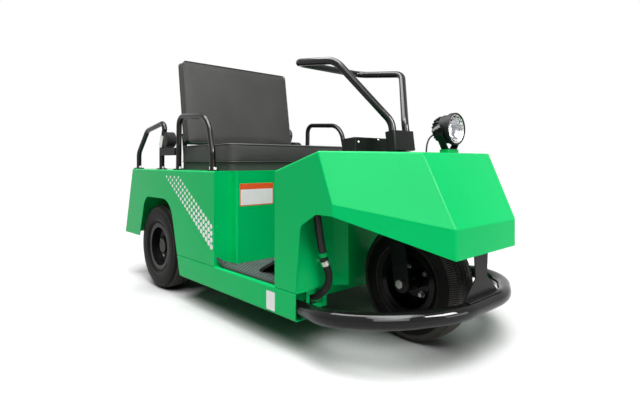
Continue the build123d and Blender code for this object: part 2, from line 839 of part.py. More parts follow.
# Leaf springs between the axle and the raised rails
with BuildPart() as springs:
    for name, side in sides:
        with BuildSketch(wall(side * rail_y)):
            for step, length in enumerate((1.0, 0.72, 0.45)):
                half = spring_half * length
                rise = spring_rise * length * length
                low = spring_seat_z + (2 - step) * leaf
                with BuildLine():
                    ThreePointArc(
                        (rear_axle_x - half, low + rise),
                        (rear_axle_x, low),
                        (rear_axle_x + half, low + rise),
                    )
                    Line((rear_axle_x + half, low + rise), (rear_axle_x + half, low + rise + leaf))
                    ThreePointArc(
                        (rear_axle_x + half, low + rise + leaf),
                        (rear_axle_x, low + leaf),
                        (rear_axle_x - half, low + rise + leaf),
                    )
                    Line((rear_axle_x - half, low + rise + leaf), (rear_axle_x - half, low + rise))
                make_face()
            for end in (-1, 1):
                base_z = spring_seat_z + 2 * leaf + spring_rise
                hanger_x = rear_axle_x + end * (spring_half - hanger_length / 2)
                with Locations((hanger_x, span(base_z, rail_raised_z))):
                    Rectangle(hanger_length, rail_raised_z - base_z)
        extrude(amount=leaf_width / 2, both=True)
hand_in(springs.part, "leaf_springs")

# Battery on the frame inside the seat box
with BuildPart() as battery:
    battery_rear_x = ahead(kick_front_ahead) + cross_width
    battery_front_x = ahead(panel_front_ahead) - battery_gap
    half = battery_width / 2
    bar(battery_rear_x, battery_front_x, -half, half, rail_top_z, rail_top_z + battery_height)
hand_in(battery.part, "battery")

# Bumper tube from inside the sills round the front wheel
leg_y = inner_half - seat_gap - bumper_tube / 2
bumper_front_x = overall_length / 2 - bumper_tube / 2
bumper_front_z = bumper_z + bumper_rise
# Columns: ahead of the front axle, out from the leg, share of the rise, bend radius
bumper_bends = (
    (-140.0, 0.0, 0.07, 170.0),
    (-4.0, 38.0, 0.64, 170.0),
    (176.0, -71.0, 0.93, 300.0),
    (bumper_front_x - front_axle_x, -bumper_flat_inset, 1.0, 250.0),
)
with BuildPart() as bumper:
    half_path = [(plate_x - bumper_leg_length, leg_y, bumper_z)]
    for place, out, share, radius in bumper_bends:
        half_path.append((nose(place), leg_y + out, bumper_z + share * bumper_rise))
    radii = [radius for place, out, share, radius in bumper_bends]
    path_points = half_path + [(x, -y, z) for x, y, z in reversed(half_path)]
    add(bent_rod(path_points, radii + radii[::-1], bumper_tube))
hand_in(bumper.part, "bumper")

# Stay from the nose down to the bumper
with BuildPart() as stay:
    stay_x = nose(cowl_front) - stay_set_back
    stay_foot_z = bumper_front_z + bumper_tube / 2
    stay_top_z = cowl_front_base_z + stay_lap
    stay_neck_z = stay_foot_z + stay_neck
    stay_face = (
        (-stay_half, stay_top_z),
        (stay_half, stay_top_z),
        (stay_half - stay_taper, stay_neck_z),
        (stay_foot_half, stay_foot_z + sheet),
        (stay_foot_half, stay_foot_z),
        (-stay_foot_half, stay_foot_z),
        (-stay_foot_half, stay_foot_z + sheet),
        (stay_taper - stay_half, stay_neck_z),
    )
    extrude(outline(stay_face, Plane.YZ.offset(stay_x - sheet)), amount=sheet)
    lip_x = nose(cowl_front) - sheet - seat_gap
    bar(stay_x - sheet, lip_x, -stay_half, stay_half, stay_top_z, stay_top_z + sheet)
    foot_x = bumper_front_x + bumper_tube / 4
    bar(stay_x - sheet, foot_x, -stay_foot_half, stay_foot_half, stay_foot_z, stay_foot_z + sheet)
hand_in(stay.part, "bumper_stay")

# Armrests and rear rails: bent tubes on round feet
# Columns: label, path as distance ahead and height, bend radii
hoop_y = body_half - hoop_inset
hoop_base_z = deck_z + foot_thickness / 2
hoops = (
    (
        "armrests",
        (
            (armrest_rear, 0),
            (armrest_top_rear, armrest_rise),
            (armrest_top_front, armrest_rise - armrest_front_drop),
            (armrest_knee, armrest_knee_rise),
            (armrest_front, 0),
        ),
        (armrest_rear_bend, armrest_front_bend, armrest_knee_bend),
    ),
    (
        "rear_rails",
        (
            (rail_rear, 0),
            (rail_rear, rail_knee_rise),
            (rail_shoulder, rail_shoulder_rise),
            (rail_top_front, rail_rise),
            (rail_front, rail_front_knee_rise),
            (rail_front, 0),
        ),
        (rail_knee_bend, rail_shoulder_bend, rail_top_bend, rail_front_bend),
    ),
)
for label, path, radii in hoops:
    with BuildPart() as rails:
        for name, side in sides:
            bent = [(ahead(a), side * hoop_y, hoop_base_z + z) for a, z in path]
            add(bent_rod(bent, radii, hoop_tube))
            for a, z in (path[0], path[-1]):
                with Locations((ahead(a), side * hoop_y, hoop_base_z)):
                    Cylinder(foot_diameter / 2, foot_thickness)
    hand_in(rails.part, label)

# Seat base, cushion and back
seat_front_ahead = box_front_ahead - seat_set_back
seat_half = body_half - seat_inset
back_half = body_half - back_inset
cushion_base_z = deck_z + seat_base_height
with BuildPart() as seat_base:
    base_half = seat_half - seat_base_inset
    base_front_x = ahead(seat_front_ahead) - seat_base_inset
    bar(ahead(seat_rear_ahead), base_front_x, -base_half, base_half, deck_z, cushion_base_z)
    fillet(seat_base.edges().filter_by(Axis.Z), seat_base_corner)
hand_in(seat_base.part, "seat_base")

with BuildPart() as cushion:
    cushion_top_z = cushion_base_z + cushion_height
    bar(ahead(seat_rear_ahead), ahead(seat_front_ahead), -seat_half, seat_half, cushion_base_z, cushion_top_z)
    fillet(cushion.edges().filter_by(Axis.Z), cushion_corner)
    fillet(cushion.faces().sort_by(Axis.Z)[-1].edges(), cushion_edge)
hand_in(cushion.part, "seat_cushion")

back_height = (back_top_z - back_base_z) / cos(radians(back_lean))
back_plane = Plane(
    (ahead(seat_rear_ahead), 0, back_base_z),
    x_dir=(0, 1, 0),
    z_dir=(cos(radians(back_lean)), 0, sin(radians(back_lean))),
)
with BuildPart() as back:
    with BuildSketch(back_plane):
        with Locations((0, back_height / 2)):
            RectangleRounded(2 * back_half, back_height, back_corner)
    extrude(amount=-back_thickness)
    fillet(back.faces().sort_by(Axis.X)[-1].edges(), back_edge)
hand_in(back.part, "seat_back")

# Brackets that carry the seat back from the seat platform
with BuildPart() as brackets:
    bracket_y = back_half - bracket_inset
    bracket_drop = 2 * (back_base_z - deck_z)
    for name, side in sides:
        with BuildSketch(back_plane.offset(-back_thickness - seat_gap)):
            with Locations((side * bracket_y, bracket_reach)):
                Rectangle(bracket_width, bracket_reach + bracket_drop, align=(Align.CENTER, Align.MAX))
        extrude(amount=-bracket_sheet)
    split(bisect_by=Plane.XY.offset(deck_z), keep=Keep.TOP)
    for name, side in sides:
        strap_x = ahead(seat_rear_ahead) - back_thickness - bracket_sheet
        y0 = side * bracket_y - bracket_width / 2
        strap_front_x = ahead(seat_rear_ahead) - seat_gap
        bar(strap_x, strap_front_x, y0, y0 + bracket_width, deck_z, deck_z + bracket_sheet)
hand_in(brackets.part, "back_brackets")

# Belt reels: a spool on a tray held between the armrest's and the rail's legs
with BuildPart() as reels:
    reel_x = ahead(reel_ahead)
    reel_z = deck_z + reel_rise
    tray_z = reel_z - reel_tray_drop
    tray_top_z = tray_z + reel_tray_height
    leg_gap = hoop_tube / 2 + 2 * seat_gap
    rail_slant = (rail_top_front - rail_front) / (rail_rise - rail_front_knee_rise)
    rail_lean = rail_slant * max(0, tray_top_z - hoop_base_z - rail_front_knee_rise)
    tray_rear_x = ahead(rail_front + rail_lean) + leg_gap * (1 + rail_slant * rail_slant) ** 0.5
    arm_lean = (armrest_top_rear - armrest_rear) * (tray_z - hoop_base_z) / armrest_rise
    tray_front_x = ahead(armrest_rear + arm_lean) - leg_gap
    for name, side in sides:
        reel_y = side * hoop_y
        spool_z = reel_z - reel_left_drop if side > 0 else reel_z
        with Locations(Plane((reel_x, reel_y, spool_z), z_dir=(0, 1, 0))):
            Cylinder(reel_diameter / 2, reel_width)
        y0 = reel_y - reel_tray_width / 2
        y1 = y0 + reel_tray_width
        bar(reel_x - reel_post / 2, reel_x + reel_post / 2, y0, y1, tray_top_z, spool_z)
        bar(tray_rear_x, tray_front_x, y0, y1, tray_z, tray_top_z)
    tray_ends = reels.edges().filter_by(Axis.Y).filter_by_position(Axis.Z, tray_z - 1, tray_z + 1)
    fillet(tray_ends, reel_tray_height / 3)
hand_in(reels.part, "belt_reels")

# Dash box on the cowl's rear slope
with BuildPart() as dash:
    dash_front_x = nose(dash_front)
    dash_rear_x = nose(dash_rear)

    def slope_z(x):
        return cowl_rear_z + lean * (x - nose(cowl_rear)) + seat_gap

    dash_profile = (
        (dash_rear_x, slope_z(dash_rear_x)),
        (dash_rear_x + dash_lean, dash_top_z - dash_drop),
        (dash_front_x, dash_top_z),
        (dash_front_x, slope_z(dash_front_x)),
    )
    extrude(outline(dash_profile, wall(0)), amount=dash_half, both=True)
    fillet(dash.edges().filter_by(Axis.Z), fold)
hand_in(dash.part, "dash_box")

# Pedals hinged on the floor
with BuildPart() as pedals:
    pedal_base_z = floor_z + mat_thickness
    heel_x = bulkhead_x - pedal_set_back
    tip_x = heel_x + pedal_reach
    pedal = (
        (heel_x, pedal_base_z),
        (heel_x, pedal_base_z + pedal_heel_height),
        (tip_x - pedal_sheet, pedal_base_z + pedal_rise),
        (tip_x, pedal_base_z + pedal_rise - pedal_sheet),
        (heel_x + pedal_heel, pedal_base_z + pedal_heel_height),
        (heel_x + pedal_heel, pedal_base_z),
    )
    for place in range(2):
        pedal_y = pedal_inset + place * pedal_pitch - body_half
        extrude(outline(pedal, wall(pedal_y)), amount=pedal_width / 2, both=True)
hand_in(pedals.part, "pedals")

# Conduit down the front of the bulkhead and into the frame
run_x = bulkhead_front_x + conduit_stand_off
conduit_points = (
    (bulkhead_front_x + seat_gap, 60 - body_half, 522),
    (run_x, 60 - body_half, 522),
    (run_x, 88 - body_half, 332),
    (run_x, 133 - body_half, 240),
    (run_x - 34, 105 - body_half, 176),
    (plate_x - 40, 101 - body_half, 173),
)
with BuildPart() as conduit:
    add(bent_rod(conduit_points, (24, 90, 40, 30), conduit_diameter))
hand_in(conduit.part, "conduit")

with BuildPart() as clip:
    lower_run = Vector(*conduit_points[3]) - Vector(*conduit_points[2])
    clip_spot = Vector(*conduit_points[2]) + lower_run * 0.28
    clip_plane = Plane(clip_spot, x_dir=(1, 0, 0), z_dir=lower_run)
    with BuildSketch(clip_plane):
        Circle(conduit_diameter / 2 + seat_gap + clip_wall)
        with Locations((-span(0, run_x - bulkhead_front_x), 0)):
            Rectangle(run_x - bulkhead_front_x - 2 * seat_gap, clip_strap)
        Circle(conduit_diameter / 2 + seat_gap, mode=Mode.SUBTRACT)
    extrude(amount=clip_width / 2, both=True)
hand_in(clip.part, "conduit_clip")

# Headlamp: stepped housing, lens, yoke and lead
lamp_plane = Plane((nose(lamp_front_ahead), 0, lamp_z), z_dir=(1, 0, 0))
lens_r = lamp_r - lens_inset
# Columns: depth of the step's rear end, step down from the lamp's radius
lamp_steps = ((18.0, 0.0), (46.0, 6.0), (64.0, 14.0), (82.0, 24.0))
lamp_depth = lamp_steps[-1][0]
with BuildPart() as housing:
    for depth, step in lamp_steps:
        with Locations(lamp_plane):
            Cylinder(lamp_r - step, depth, align=(Align.CENTER, Align.CENTER, Align.MAX))
    with Locations(lamp_plane):
        Cylinder(lens_r + seat_gap, 2 * lens_depth, mode=Mode.SUBTRACT)
hand_in(housing.part, "headlamp")

with BuildPart() as lens:
    with Locations(lamp_plane.offset(seat_gap - lens_depth)):
        Cylinder(lens_r, lens_thickness, align=(Align.CENTER, Align.CENTER, Align.MIN))
hand_in(lens.part, "headlamp_lens")

with BuildPart() as yoke:
    yoke_half = lamp_r + yoke_strap + yoke_gap
    foot_half = yoke_foot / 2
    bend_z = lamp_z - yoke_bend_drop
    inner_edge = (
        (yoke_half - yoke_strap, lamp_z),
        (yoke_half - yoke_strap, bend_z),
        (foot_half - yoke_strap, pad_z + yoke_strap),
    )
    outer_edge = ((foot_half, pad_z), (yoke_half, bend_z), (yoke_half, lamp_z))
    inner_loop = inner_edge + tuple((-y, z) for y, z in inner_edge[::-1])
    strap = tuple((-y, z) for y, z in outer_edge[::-1]) + outer_edge + inner_loop
    extrude(outline(strap, Plane((lamp_pad_x, 0, 0), (0, 1, 0), (1, 0, 0))), amount=yoke_width / 2, both=True)
    for name, side in sides:
        with BuildSketch(wall(side * (yoke_half - yoke_strap / 2))):
            with Locations((lamp_pad_x, lamp_z)):
                Circle(yoke_width / 2)
        extrude(amount=yoke_strap / 2, both=True)
        with Locations(Plane((lamp_pad_x, side * yoke_half, lamp_z), z_dir=(0, side, 0))):
            Cylinder(knob_diameter / 2, knob_length, align=(Align.CENTER, Align.CENTER, Align.MIN))
        with Locations(Plane((lamp_pad_x, side * lamp_r, lamp_z), z_dir=(0, 1, 0))):
            Cylinder(pivot_diameter / 2, 2 * (yoke_half - lamp_r + lamp_steps[1][1]) - yoke_strap)
    with Locations(lamp_plane):
        Cylinder(lamp_r - lamp_steps[1][1] + seat_gap, 4 * lamp_depth, mode=Mode.SUBTRACT)
hand_in(yoke.part, "lamp_yoke")

lead_x = nose(lamp_front_ahead) - lamp_depth
drop_x = lead_x - 30
top_fall = (cowl_ridge_z - cowl_brow_z) / (cowl_brow - cowl_ridge)
drop_z = cowl_ridge_z - (drop_x - nose(cowl_ridge)) * top_fall + seat_gap
lead_points = (
    (lead_x - seat_gap, 0, lamp_z - 16),
    (lead_x - 24, 0, lamp_z - 16),
    (drop_x, -20, drop_z + 28),
    (drop_x, -20, drop_z),
)
with BuildPart() as lead:
    add(bent_rod(lead_points, (10, 22), lead_diameter))
hand_in(lead.part, "lamp_lead")

# Tail lamps on the tail panel
with BuildPart() as tail_lamps:
    tail_normal = Vector(-1, 0, tail_slope)
    spot_x = ahead(-tail_overhang) + tail_lamp_rise * tail_slope
    for name, side in sides:
        spot = (spot_x, side * (body_half - tail_lamp_inset), skirt_z + tail_lamp_rise)
        with Locations(Plane(spot, z_dir=tail_normal)):
            Cylinder(tail_lamp_diameter / 2, tail_lamp_depth, align=(Align.CENTER, Align.CENTER, Align.MIN))
hand_in(tail_lamps.part, "tail_lamps")
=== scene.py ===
import json
from math import cos, pi, radians, sin, tanh, tau

import bmesh
import bpy
from mathutils import Matrix, Vector


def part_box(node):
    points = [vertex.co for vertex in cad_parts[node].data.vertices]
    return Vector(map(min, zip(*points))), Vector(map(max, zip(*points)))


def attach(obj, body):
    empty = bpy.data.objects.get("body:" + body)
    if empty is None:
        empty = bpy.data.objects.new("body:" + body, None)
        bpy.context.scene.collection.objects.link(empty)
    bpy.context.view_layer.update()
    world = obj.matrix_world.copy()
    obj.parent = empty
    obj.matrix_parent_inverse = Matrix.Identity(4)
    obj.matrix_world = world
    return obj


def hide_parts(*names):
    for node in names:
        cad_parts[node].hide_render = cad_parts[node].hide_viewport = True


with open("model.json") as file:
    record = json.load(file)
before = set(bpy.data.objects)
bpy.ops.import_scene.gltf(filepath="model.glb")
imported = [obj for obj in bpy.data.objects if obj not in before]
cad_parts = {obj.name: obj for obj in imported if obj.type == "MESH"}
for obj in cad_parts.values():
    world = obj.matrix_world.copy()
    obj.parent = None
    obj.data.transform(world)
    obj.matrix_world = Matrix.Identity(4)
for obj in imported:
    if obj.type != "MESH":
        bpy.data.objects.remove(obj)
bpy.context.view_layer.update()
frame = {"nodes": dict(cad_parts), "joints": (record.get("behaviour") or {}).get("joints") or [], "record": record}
scene = bpy.context.scene
nodes = frame["nodes"]
joints = {joint["name"]: joint for joint in frame["joints"]}

# Places taken from the frame, in metres
front_hub = Vector(joints["front_wheel_roll"]["pos_m"])
rear_hubs = {side: Vector(joints[f"rear_{side}_wheel_roll"]["pos_m"]) for side in ("left", "right")}
rear_axle_x = rear_hubs["left"].x
wheel_r = front_hub.z
body_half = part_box("side_panels")[1].y
deck_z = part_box("load_deck")[1].z


# Materials

noise_low, noise_high = 0.3, 0.7  # most of a noise lies between these
grain_height = 0.0004


def start_material(name):
    material = bpy.data.materials.new(name)
    material.use_nodes = True
    tree = material.node_tree
    return material, tree, tree.nodes["Principled BSDF"]


def new_node(tree, kind, inputs=(), **settings):
    """A node with some sockets set or linked by name or number."""
    node = tree.nodes.new(kind)
    for key, value in settings.items():
        setattr(node, key, value)
    for key, value in dict(inputs).items():
        if isinstance(value, bpy.types.NodeSocket):
            tree.links.new(value, node.inputs[key])
        else:
            node.inputs[key].default_value = value
    return node


def place_of(tree):
    """Object coordinates."""
    return new_node(tree, "ShaderNodeTexCoord").outputs["Object"]


def noise(tree, scale, detail=2.0):
    inputs = {"Vector": place_of(tree), "Scale": scale, "Detail": detail}
    return new_node(tree, "ShaderNodeTexNoise", inputs).outputs[0]


def tone(tree, amount, dark, light):
    """A colour between two tones."""
    ramp = new_node(tree, "ShaderNodeValToRGB", {"Fac": amount})
    ramp.color_ramp.elements[0].color = (*dark, 1)
    ramp.color_ramp.elements[0].position = noise_low
    ramp.color_ramp.elements[1].color = (*light, 1)
    ramp.color_ramp.elements[1].position = noise_high
    return ramp.outputs[0]


def between(tree, amount, low, high):
    """A number between two others."""
    inputs = {"Value": amount, "From Min": noise_low, "From Max": noise_high, "To Min": low, "To Max": high}
    return new_node(tree, "ShaderNodeMapRange", inputs).outputs[0]


def relief(tree, shader, height, strength, distance):
    inputs = {"Height": height, "Strength": strength, "Distance": distance}
    bump = new_node(tree, "ShaderNodeBump", inputs)
    tree.links.new(bump.outputs[0], shader.inputs["Normal"])


def all_over(shader, **values):
    """Sets what is the same all over a surface on the shader's own sockets, with _ for a space in a name."""
    for key, value in values.items():
        shader.inputs[key.replace("_", " ")].default_value = value


def finish(name, dark, light, rough, cloud, grain, bump, metallic=0.0, specular=0.5):
    """A finish that drifts in clouds between two tones, with a fine grain in its gloss and its relief."""
    material, tree, shader = start_material(name)
    drift = noise(tree, cloud, detail=3.0)
    grit = noise(tree, grain, detail=3.0)
    tree.links.new(tone(tree, drift, dark, light), shader.inputs["Base Color"])
    tree.links.new(between(tree, grit, *rough), shader.inputs["Roughness"])
    relief(tree, shader, grit, bump, grain_height)
    all_over(shader, Metallic=metallic, Specular_IOR_Level=specular)
    return material


def vinyl_cloth():
    """Upholstery vinyl with a pebbled grain and a soft sheen."""
    material, tree, shader = start_material("seat vinyl")
    pebble = new_node(tree, "ShaderNodeTexVoronoi", {"Vector": place_of(tree), "Scale": 520.0})
    crease = noise(tree, 60.0, detail=4.0)
    height = new_node(tree, "ShaderNodeMath", {0: pebble.outputs["Distance"], 1: crease}, operation="ADD")
    colour = tone(tree, noise(tree, 6.0, detail=3.0), dark=(0.041, 0.041, 0.039), light=(0.052, 0.052, 0.049))
    tree.links.new(colour, shader.inputs["Base Color"])
    tree.links.new(between(tree, crease, 0.5, 0.62), shader.inputs["Roughness"])
    relief(tree, shader, height.outputs[0], strength=0.22, distance=0.0006)
    all_over(shader, Specular_IOR_Level=0.12, Sheen_Weight=0.06, Sheen_Roughness=0.5)
    return material


def clear_glass():
    """Lamp glass with faint upright flutes."""
    material, tree, shader = start_material("lamp glass")
    inputs = {"Vector": place_of(tree), "Scale": 60.0}
    flute = new_node(tree, "ShaderNodeTexWave", inputs, bands_direction="Y")
    relief(tree, shader, flute.outputs["Fac"], strength=0.08, distance=0.0005)
    all_over(shader, Base_Color=(0.98, 0.99, 1.0, 1), Transmission_Weight=1.0, Roughness=0.02, IOR=1.2)
    return material


def red_lens():
    """Red plastic with moulded cells under a clear coat."""
    material, tree, shader = start_material("red lens")
    cell = new_node(tree, "ShaderNodeTexVoronoi", {"Vector": place_of(tree), "Scale": 160.0})
    colour = tone(tree, noise(tree, 30.0), dark=(0.42, 0.008, 0.008), light=(0.55, 0.015, 0.012))
    tree.links.new(colour, shader.inputs["Base Color"])
    relief(tree, shader, cell.outputs["Distance"], strength=0.5, distance=0.0015)
    all_over(shader, Roughness=0.12, Coat_Weight=0.6)
    return material


green_enamel = finish(
    "green enamel", dark=(0.0, 0.50, 0.125), light=(0.0, 0.54, 0.140),
    rough=(0.12, 0.18), cloud=2.5, grain=420.0, bump=0.01, specular=0.06,
)
black_powder = finish(
    "black powder coat", dark=(0.006, 0.006, 0.006), light=(0.009, 0.009, 0.009),
    rough=(0.13, 0.15), cloud=8.0, grain=300.0, bump=0.0, specular=0.22,
)
black_gloss = finish(
    "black gloss enamel", dark=(0.005, 0.005, 0.005), light=(0.008, 0.008, 0.008),
    rough=(0.04, 0.06), cloud=6.0, grain=500.0, bump=0.006, specular=0.2,
)
black_satin = finish(
    "black satin paint", dark=(0.008, 0.008, 0.008), light=(0.012, 0.012, 0.012),
    rough=(0.3, 0.4), cloud=8.0, grain=900.0, bump=0.06, specular=0.1,
)
rim_enamel = finish(
    "black rim enamel", dark=(0.006, 0.006, 0.006), light=(0.010, 0.010, 0.010),
    rough=(0.08, 0.13), cloud=14.0, grain=600.0, bump=0.03, specular=0.07,
)
bright_zinc = finish(
    "bright zinc", dark=(0.58, 0.58, 0.55), light=(0.74, 0.73, 0.70),
    rough=(0.22, 0.42), cloud=60.0, grain=900.0, bump=0.12, metallic=1.0,
)
dull_zinc = finish(
    "dull zinc", dark=(0.22, 0.22, 0.21), light=(0.34, 0.34, 0.32),
    rough=(0.28, 0.44), cloud=60.0, grain=900.0, bump=0.15, metallic=1.0,
)
tyre_rubber = finish(
    "tyre rubber", dark=(0.008, 0.008, 0.0075), light=(0.013, 0.0125, 0.012),
    rough=(0.42, 0.55), cloud=22.0, grain=700.0, bump=0.2, specular=0.05,
)
# Painted highlight: the tread ribs, shoulder blocks and wall ridges get a rubber many times lighter than the
# carcass, standing in for light on the raised tread.
painted_highlight_tread_rubber = finish(
    "tread rubber with painted highlight", dark=(0.075, 0.072, 0.066), light=(0.098, 0.094, 0.086),
    rough=(0.55, 0.7), cloud=40.0, grain=700.0, bump=0.25, specular=0.05,
)
mat_rubber = finish(
    "mat rubber", dark=(0.036, 0.050, 0.046), light=(0.050, 0.066, 0.061),
    rough=(0.6, 0.75), cloud=18.0, grain=800.0, bump=0.2, specular=0.06,
)
# Painted highlight: the raised diamonds get a rubber about three times lighter than the mat, standing in for light
# on their tops.
painted_highlight_mat_rubber = finish(
    "mat rubber with painted highlight", dark=(0.105, 0.135, 0.126), light=(0.135, 0.170, 0.160),
    rough=(0.5, 0.65), cloud=18.0, grain=800.0, bump=0.2, specular=0.1,
)
hose_rubber = finish(
    "hose rubber", dark=(0.008, 0.008, 0.007), light=(0.013, 0.012, 0.011),
    rough=(0.4, 0.5), cloud=30.0, grain=1200.0, bump=0.2, specular=0.25,
)
black_plastic = finish(
    "black moulded plastic", dark=(0.009, 0.009, 0.009), light=(0.013, 0.013, 0.013),
    rough=(0.42, 0.58), cloud=10.0, grain=1100.0, bump=0.16, specular=0.12,
)
reflector_chrome = finish(
    "reflector chrome", dark=(0.24, 0.24, 0.25), light=(0.34, 0.34, 0.35),
    rough=(0.04, 0.12), cloud=20.0, grain=300.0, bump=0.02, metallic=1.0,
)
cast_alloy = finish(
    "cast alloy", dark=(0.30, 0.30, 0.30), light=(0.42, 0.42, 0.41),
    rough=(0.4, 0.6), cloud=30.0, grain=500.0, bump=0.3, metallic=1.0,
)
white_film = finish(
    "white film", dark=(0.84, 0.85, 0.84), light=(0.90, 0.90, 0.89),
    rough=(0.35, 0.45), cloud=20.0, grain=700.0, bump=0.03, specular=0.2,
)
orange_film = finish(
    "orange film", dark=(0.80, 0.09, 0.010), light=(0.88, 0.12, 0.015),
    rough=(0.35, 0.45), cloud=20.0, grain=700.0, bump=0.03, specular=0.2,
)
belt_webbing = finish(
    "belt webbing", dark=(0.007, 0.007, 0.007), light=(0.014, 0.014, 0.014),
    rough=(0.7, 0.85), cloud=200.0, grain=1500.0, bump=0.5, specular=0.15,
)
# Painted shade: the piping is a vinyl about three times darker than the seat, standing in for the shade along the
# seams.
painted_seam_shade_vinyl = finish(
    "welt vinyl with painted seam shade", dark=(0.014, 0.014, 0.013), light=(0.020, 0.020, 0.019),
    rough=(0.4, 0.55), cloud=30.0, grain=900.0, bump=0.15, specular=0.3,
)
seat_vinyl = vinyl_cloth()
lamp_glass = clear_glass()
lamp_red = red_lens()

slot_finish = {
    "body_green": green_enamel,
    "black_paint": black_powder,
    "rim_black": rim_enamel,
    "zinc_steel": bright_zinc,
    "tyre": tyre_rubber,
    "mat_rubber": mat_rubber,
    "vinyl": seat_vinyl,
    "black_plastic": black_plastic,
    "lamp_glass": lamp_glass,
    "red_plastic": lamp_red,
    "motor_alloy": cast_alloy,
}
node_finish = {
    "bumper": black_gloss,
    "seat_base": seat_vinyl,
    "column_box": black_satin,
    "front_axle": dull_zinc,
    "dash_box": black_satin,
    "fork": black_satin,
    "bumper_stay": black_satin,
    "back_brackets": black_satin,
    "lamp_yoke": black_satin,
}
for subpart in frame["record"]["subparts"]:
    node = subpart["node"]
    paint = node_finish.get(node, slot_finish[subpart["material_slot"]])
    nodes[node].data.materials.clear()
    nodes[node].data.materials.append(paint)


# Mesh helpers

def piece(name, bm, paint, body, crease=35):
    """A finished mesh object that rides on a body."""
    mesh = bpy.data.meshes.new(name)
    bmesh.ops.recalc_face_normals(bm, faces=bm.faces)
    bm.to_mesh(mesh)
    bm.free()
    return dress(bpy.data.objects.new(name, mesh), paint, body, crease)


def dress(item, paint, body, crease=35):
    """Gives an object its finish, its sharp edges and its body."""
    if item.name not in scene.collection.objects:
        scene.collection.objects.link(item)
    item.data.materials.clear()
    item.data.materials.append(paint)
    item.data.shade_smooth()
    item.data.set_sharp_from_angle(angle=radians(crease))
    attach(item, body)
    return item


def made_mesh(item):
    """A plain mesh of what an object's modifiers or curve make."""
    evaluated = item.evaluated_get(bpy.context.evaluated_depsgraph_get())
    return bpy.data.meshes.new_from_object(evaluated)


def walls(bm, rings):
    """Faces from each ring of points to the next, all the way round."""
    for first, second in zip(rings, rings[1:]):
        for k in range(len(first)):
            after = (k + 1) % len(first)
            bm.faces.new((first[k], first[after], second[after], second[k]))


def capped(bm, rings):
    """Walls between rings of points, with a flat cap on the first and on the last."""
    walls(bm, rings)
    bm.faces.new(rings[0])
    bm.faces.new(rings[-1])


def prism(bm, outline, depth, place=Matrix.Identity(4)):
    """A flat outline in X and Z, made thick along Y about its middle."""
    layers = []
    for y in (-depth / 2, depth / 2):
        layers.append([bm.verts.new(place @ Vector((x, y, z))) for x, z in outline])
    capped(bm, layers)


def about_y(radius, along, angle):
    """A place at an angle round the Y axis."""
    return Vector((radius * cos(angle), along, radius * sin(angle)))


def turned(bm, profile, steps, place, closed=True):
    """A profile of distance along Y and radius, turned about the Y axis of a place."""
    rings = []
    for along, radius in profile:
        around = steps if radius > 1e-6 else 1
        spots = [place @ about_y(radius, along, tau * step / steps) for step in range(around)]
        rings.append([bm.verts.new(spot) for spot in spots])
    pairs = list(zip(rings, rings[1:]))
    if closed:
        pairs.append((rings[-1], rings[0]))
    for first, second in pairs:
        for step in range(steps):
            after = (step + 1) % steps
            corners = [first[step % len(first)], first[after % len(first)]]
            corners += [second[after % len(second)], second[step % len(second)]]
            corners = list(dict.fromkeys(corners))
            if len(corners) > 2:
                bm.faces.new(corners)


def turned_piece(name, profile, steps, place, paint, crease=40, closed=True):
    """A piece of the chassis turned from one profile."""
    bm = bmesh.new()
    turned(bm, profile, steps, place, closed)
    return piece(name, bm, paint, "chassis", crease)


def rounded_ring(half_long, half_wide, corner, steps=6):
    """Points round a rectangle with round corners."""
    points = []
    for quarter, (long_side, wide_side) in enumerate(((1, 1), (-1, 1), (-1, -1), (1, -1))):
        for step in range(steps + 1):
            angle = pi / 2 * (quarter + step / steps)
            long_part = long_side * (half_long - corner) + corner * cos(angle)
            points.append((long_part, wide_side * (half_wide - corner) + corner * sin(angle)))
    return points


def curve_through(points, steps):
    """Points on a smooth line through the given points."""
    spots = [Vector(point) for point in points]
    spots = [2 * spots[0] - spots[1], *spots, 2 * spots[-1] - spots[-2]]
    line = []
    for a, b, c, d in zip(spots, spots[1:], spots[2:], spots[3:]):
        for step in range(steps):
            t = step / steps
            square = 2 * a - 5 * b + 4 * c - d
            cube = 3 * b - a - 3 * c + d
            line.append(0.5 * (2 * b + (c - a) * t + square * t * t + cube * t ** 3))
    return [tuple(spot) for spot in line] + [tuple(spots[-2])]


def round_line(name, kind, points, radius, facets):
    """A round curve along a spline of the given kind."""
    data = bpy.data.curves.new(name, "CURVE")
    data.dimensions = "3D"
    data.bevel_depth = radius
    data.bevel_resolution = facets
    spline = data.splines.new(kind)
    spline.points.add(len(points) - 1)
    for point, spot in zip(spline.points, points):
        point.co = (*spot, 1)
    item = bpy.data.objects.new(name, data)
    scene.collection.objects.link(item)
    return item, spline


# Repeats

unturned = (0.0, 0.0, 0.0)
full_size = (1.0, 1.0, 1.0)


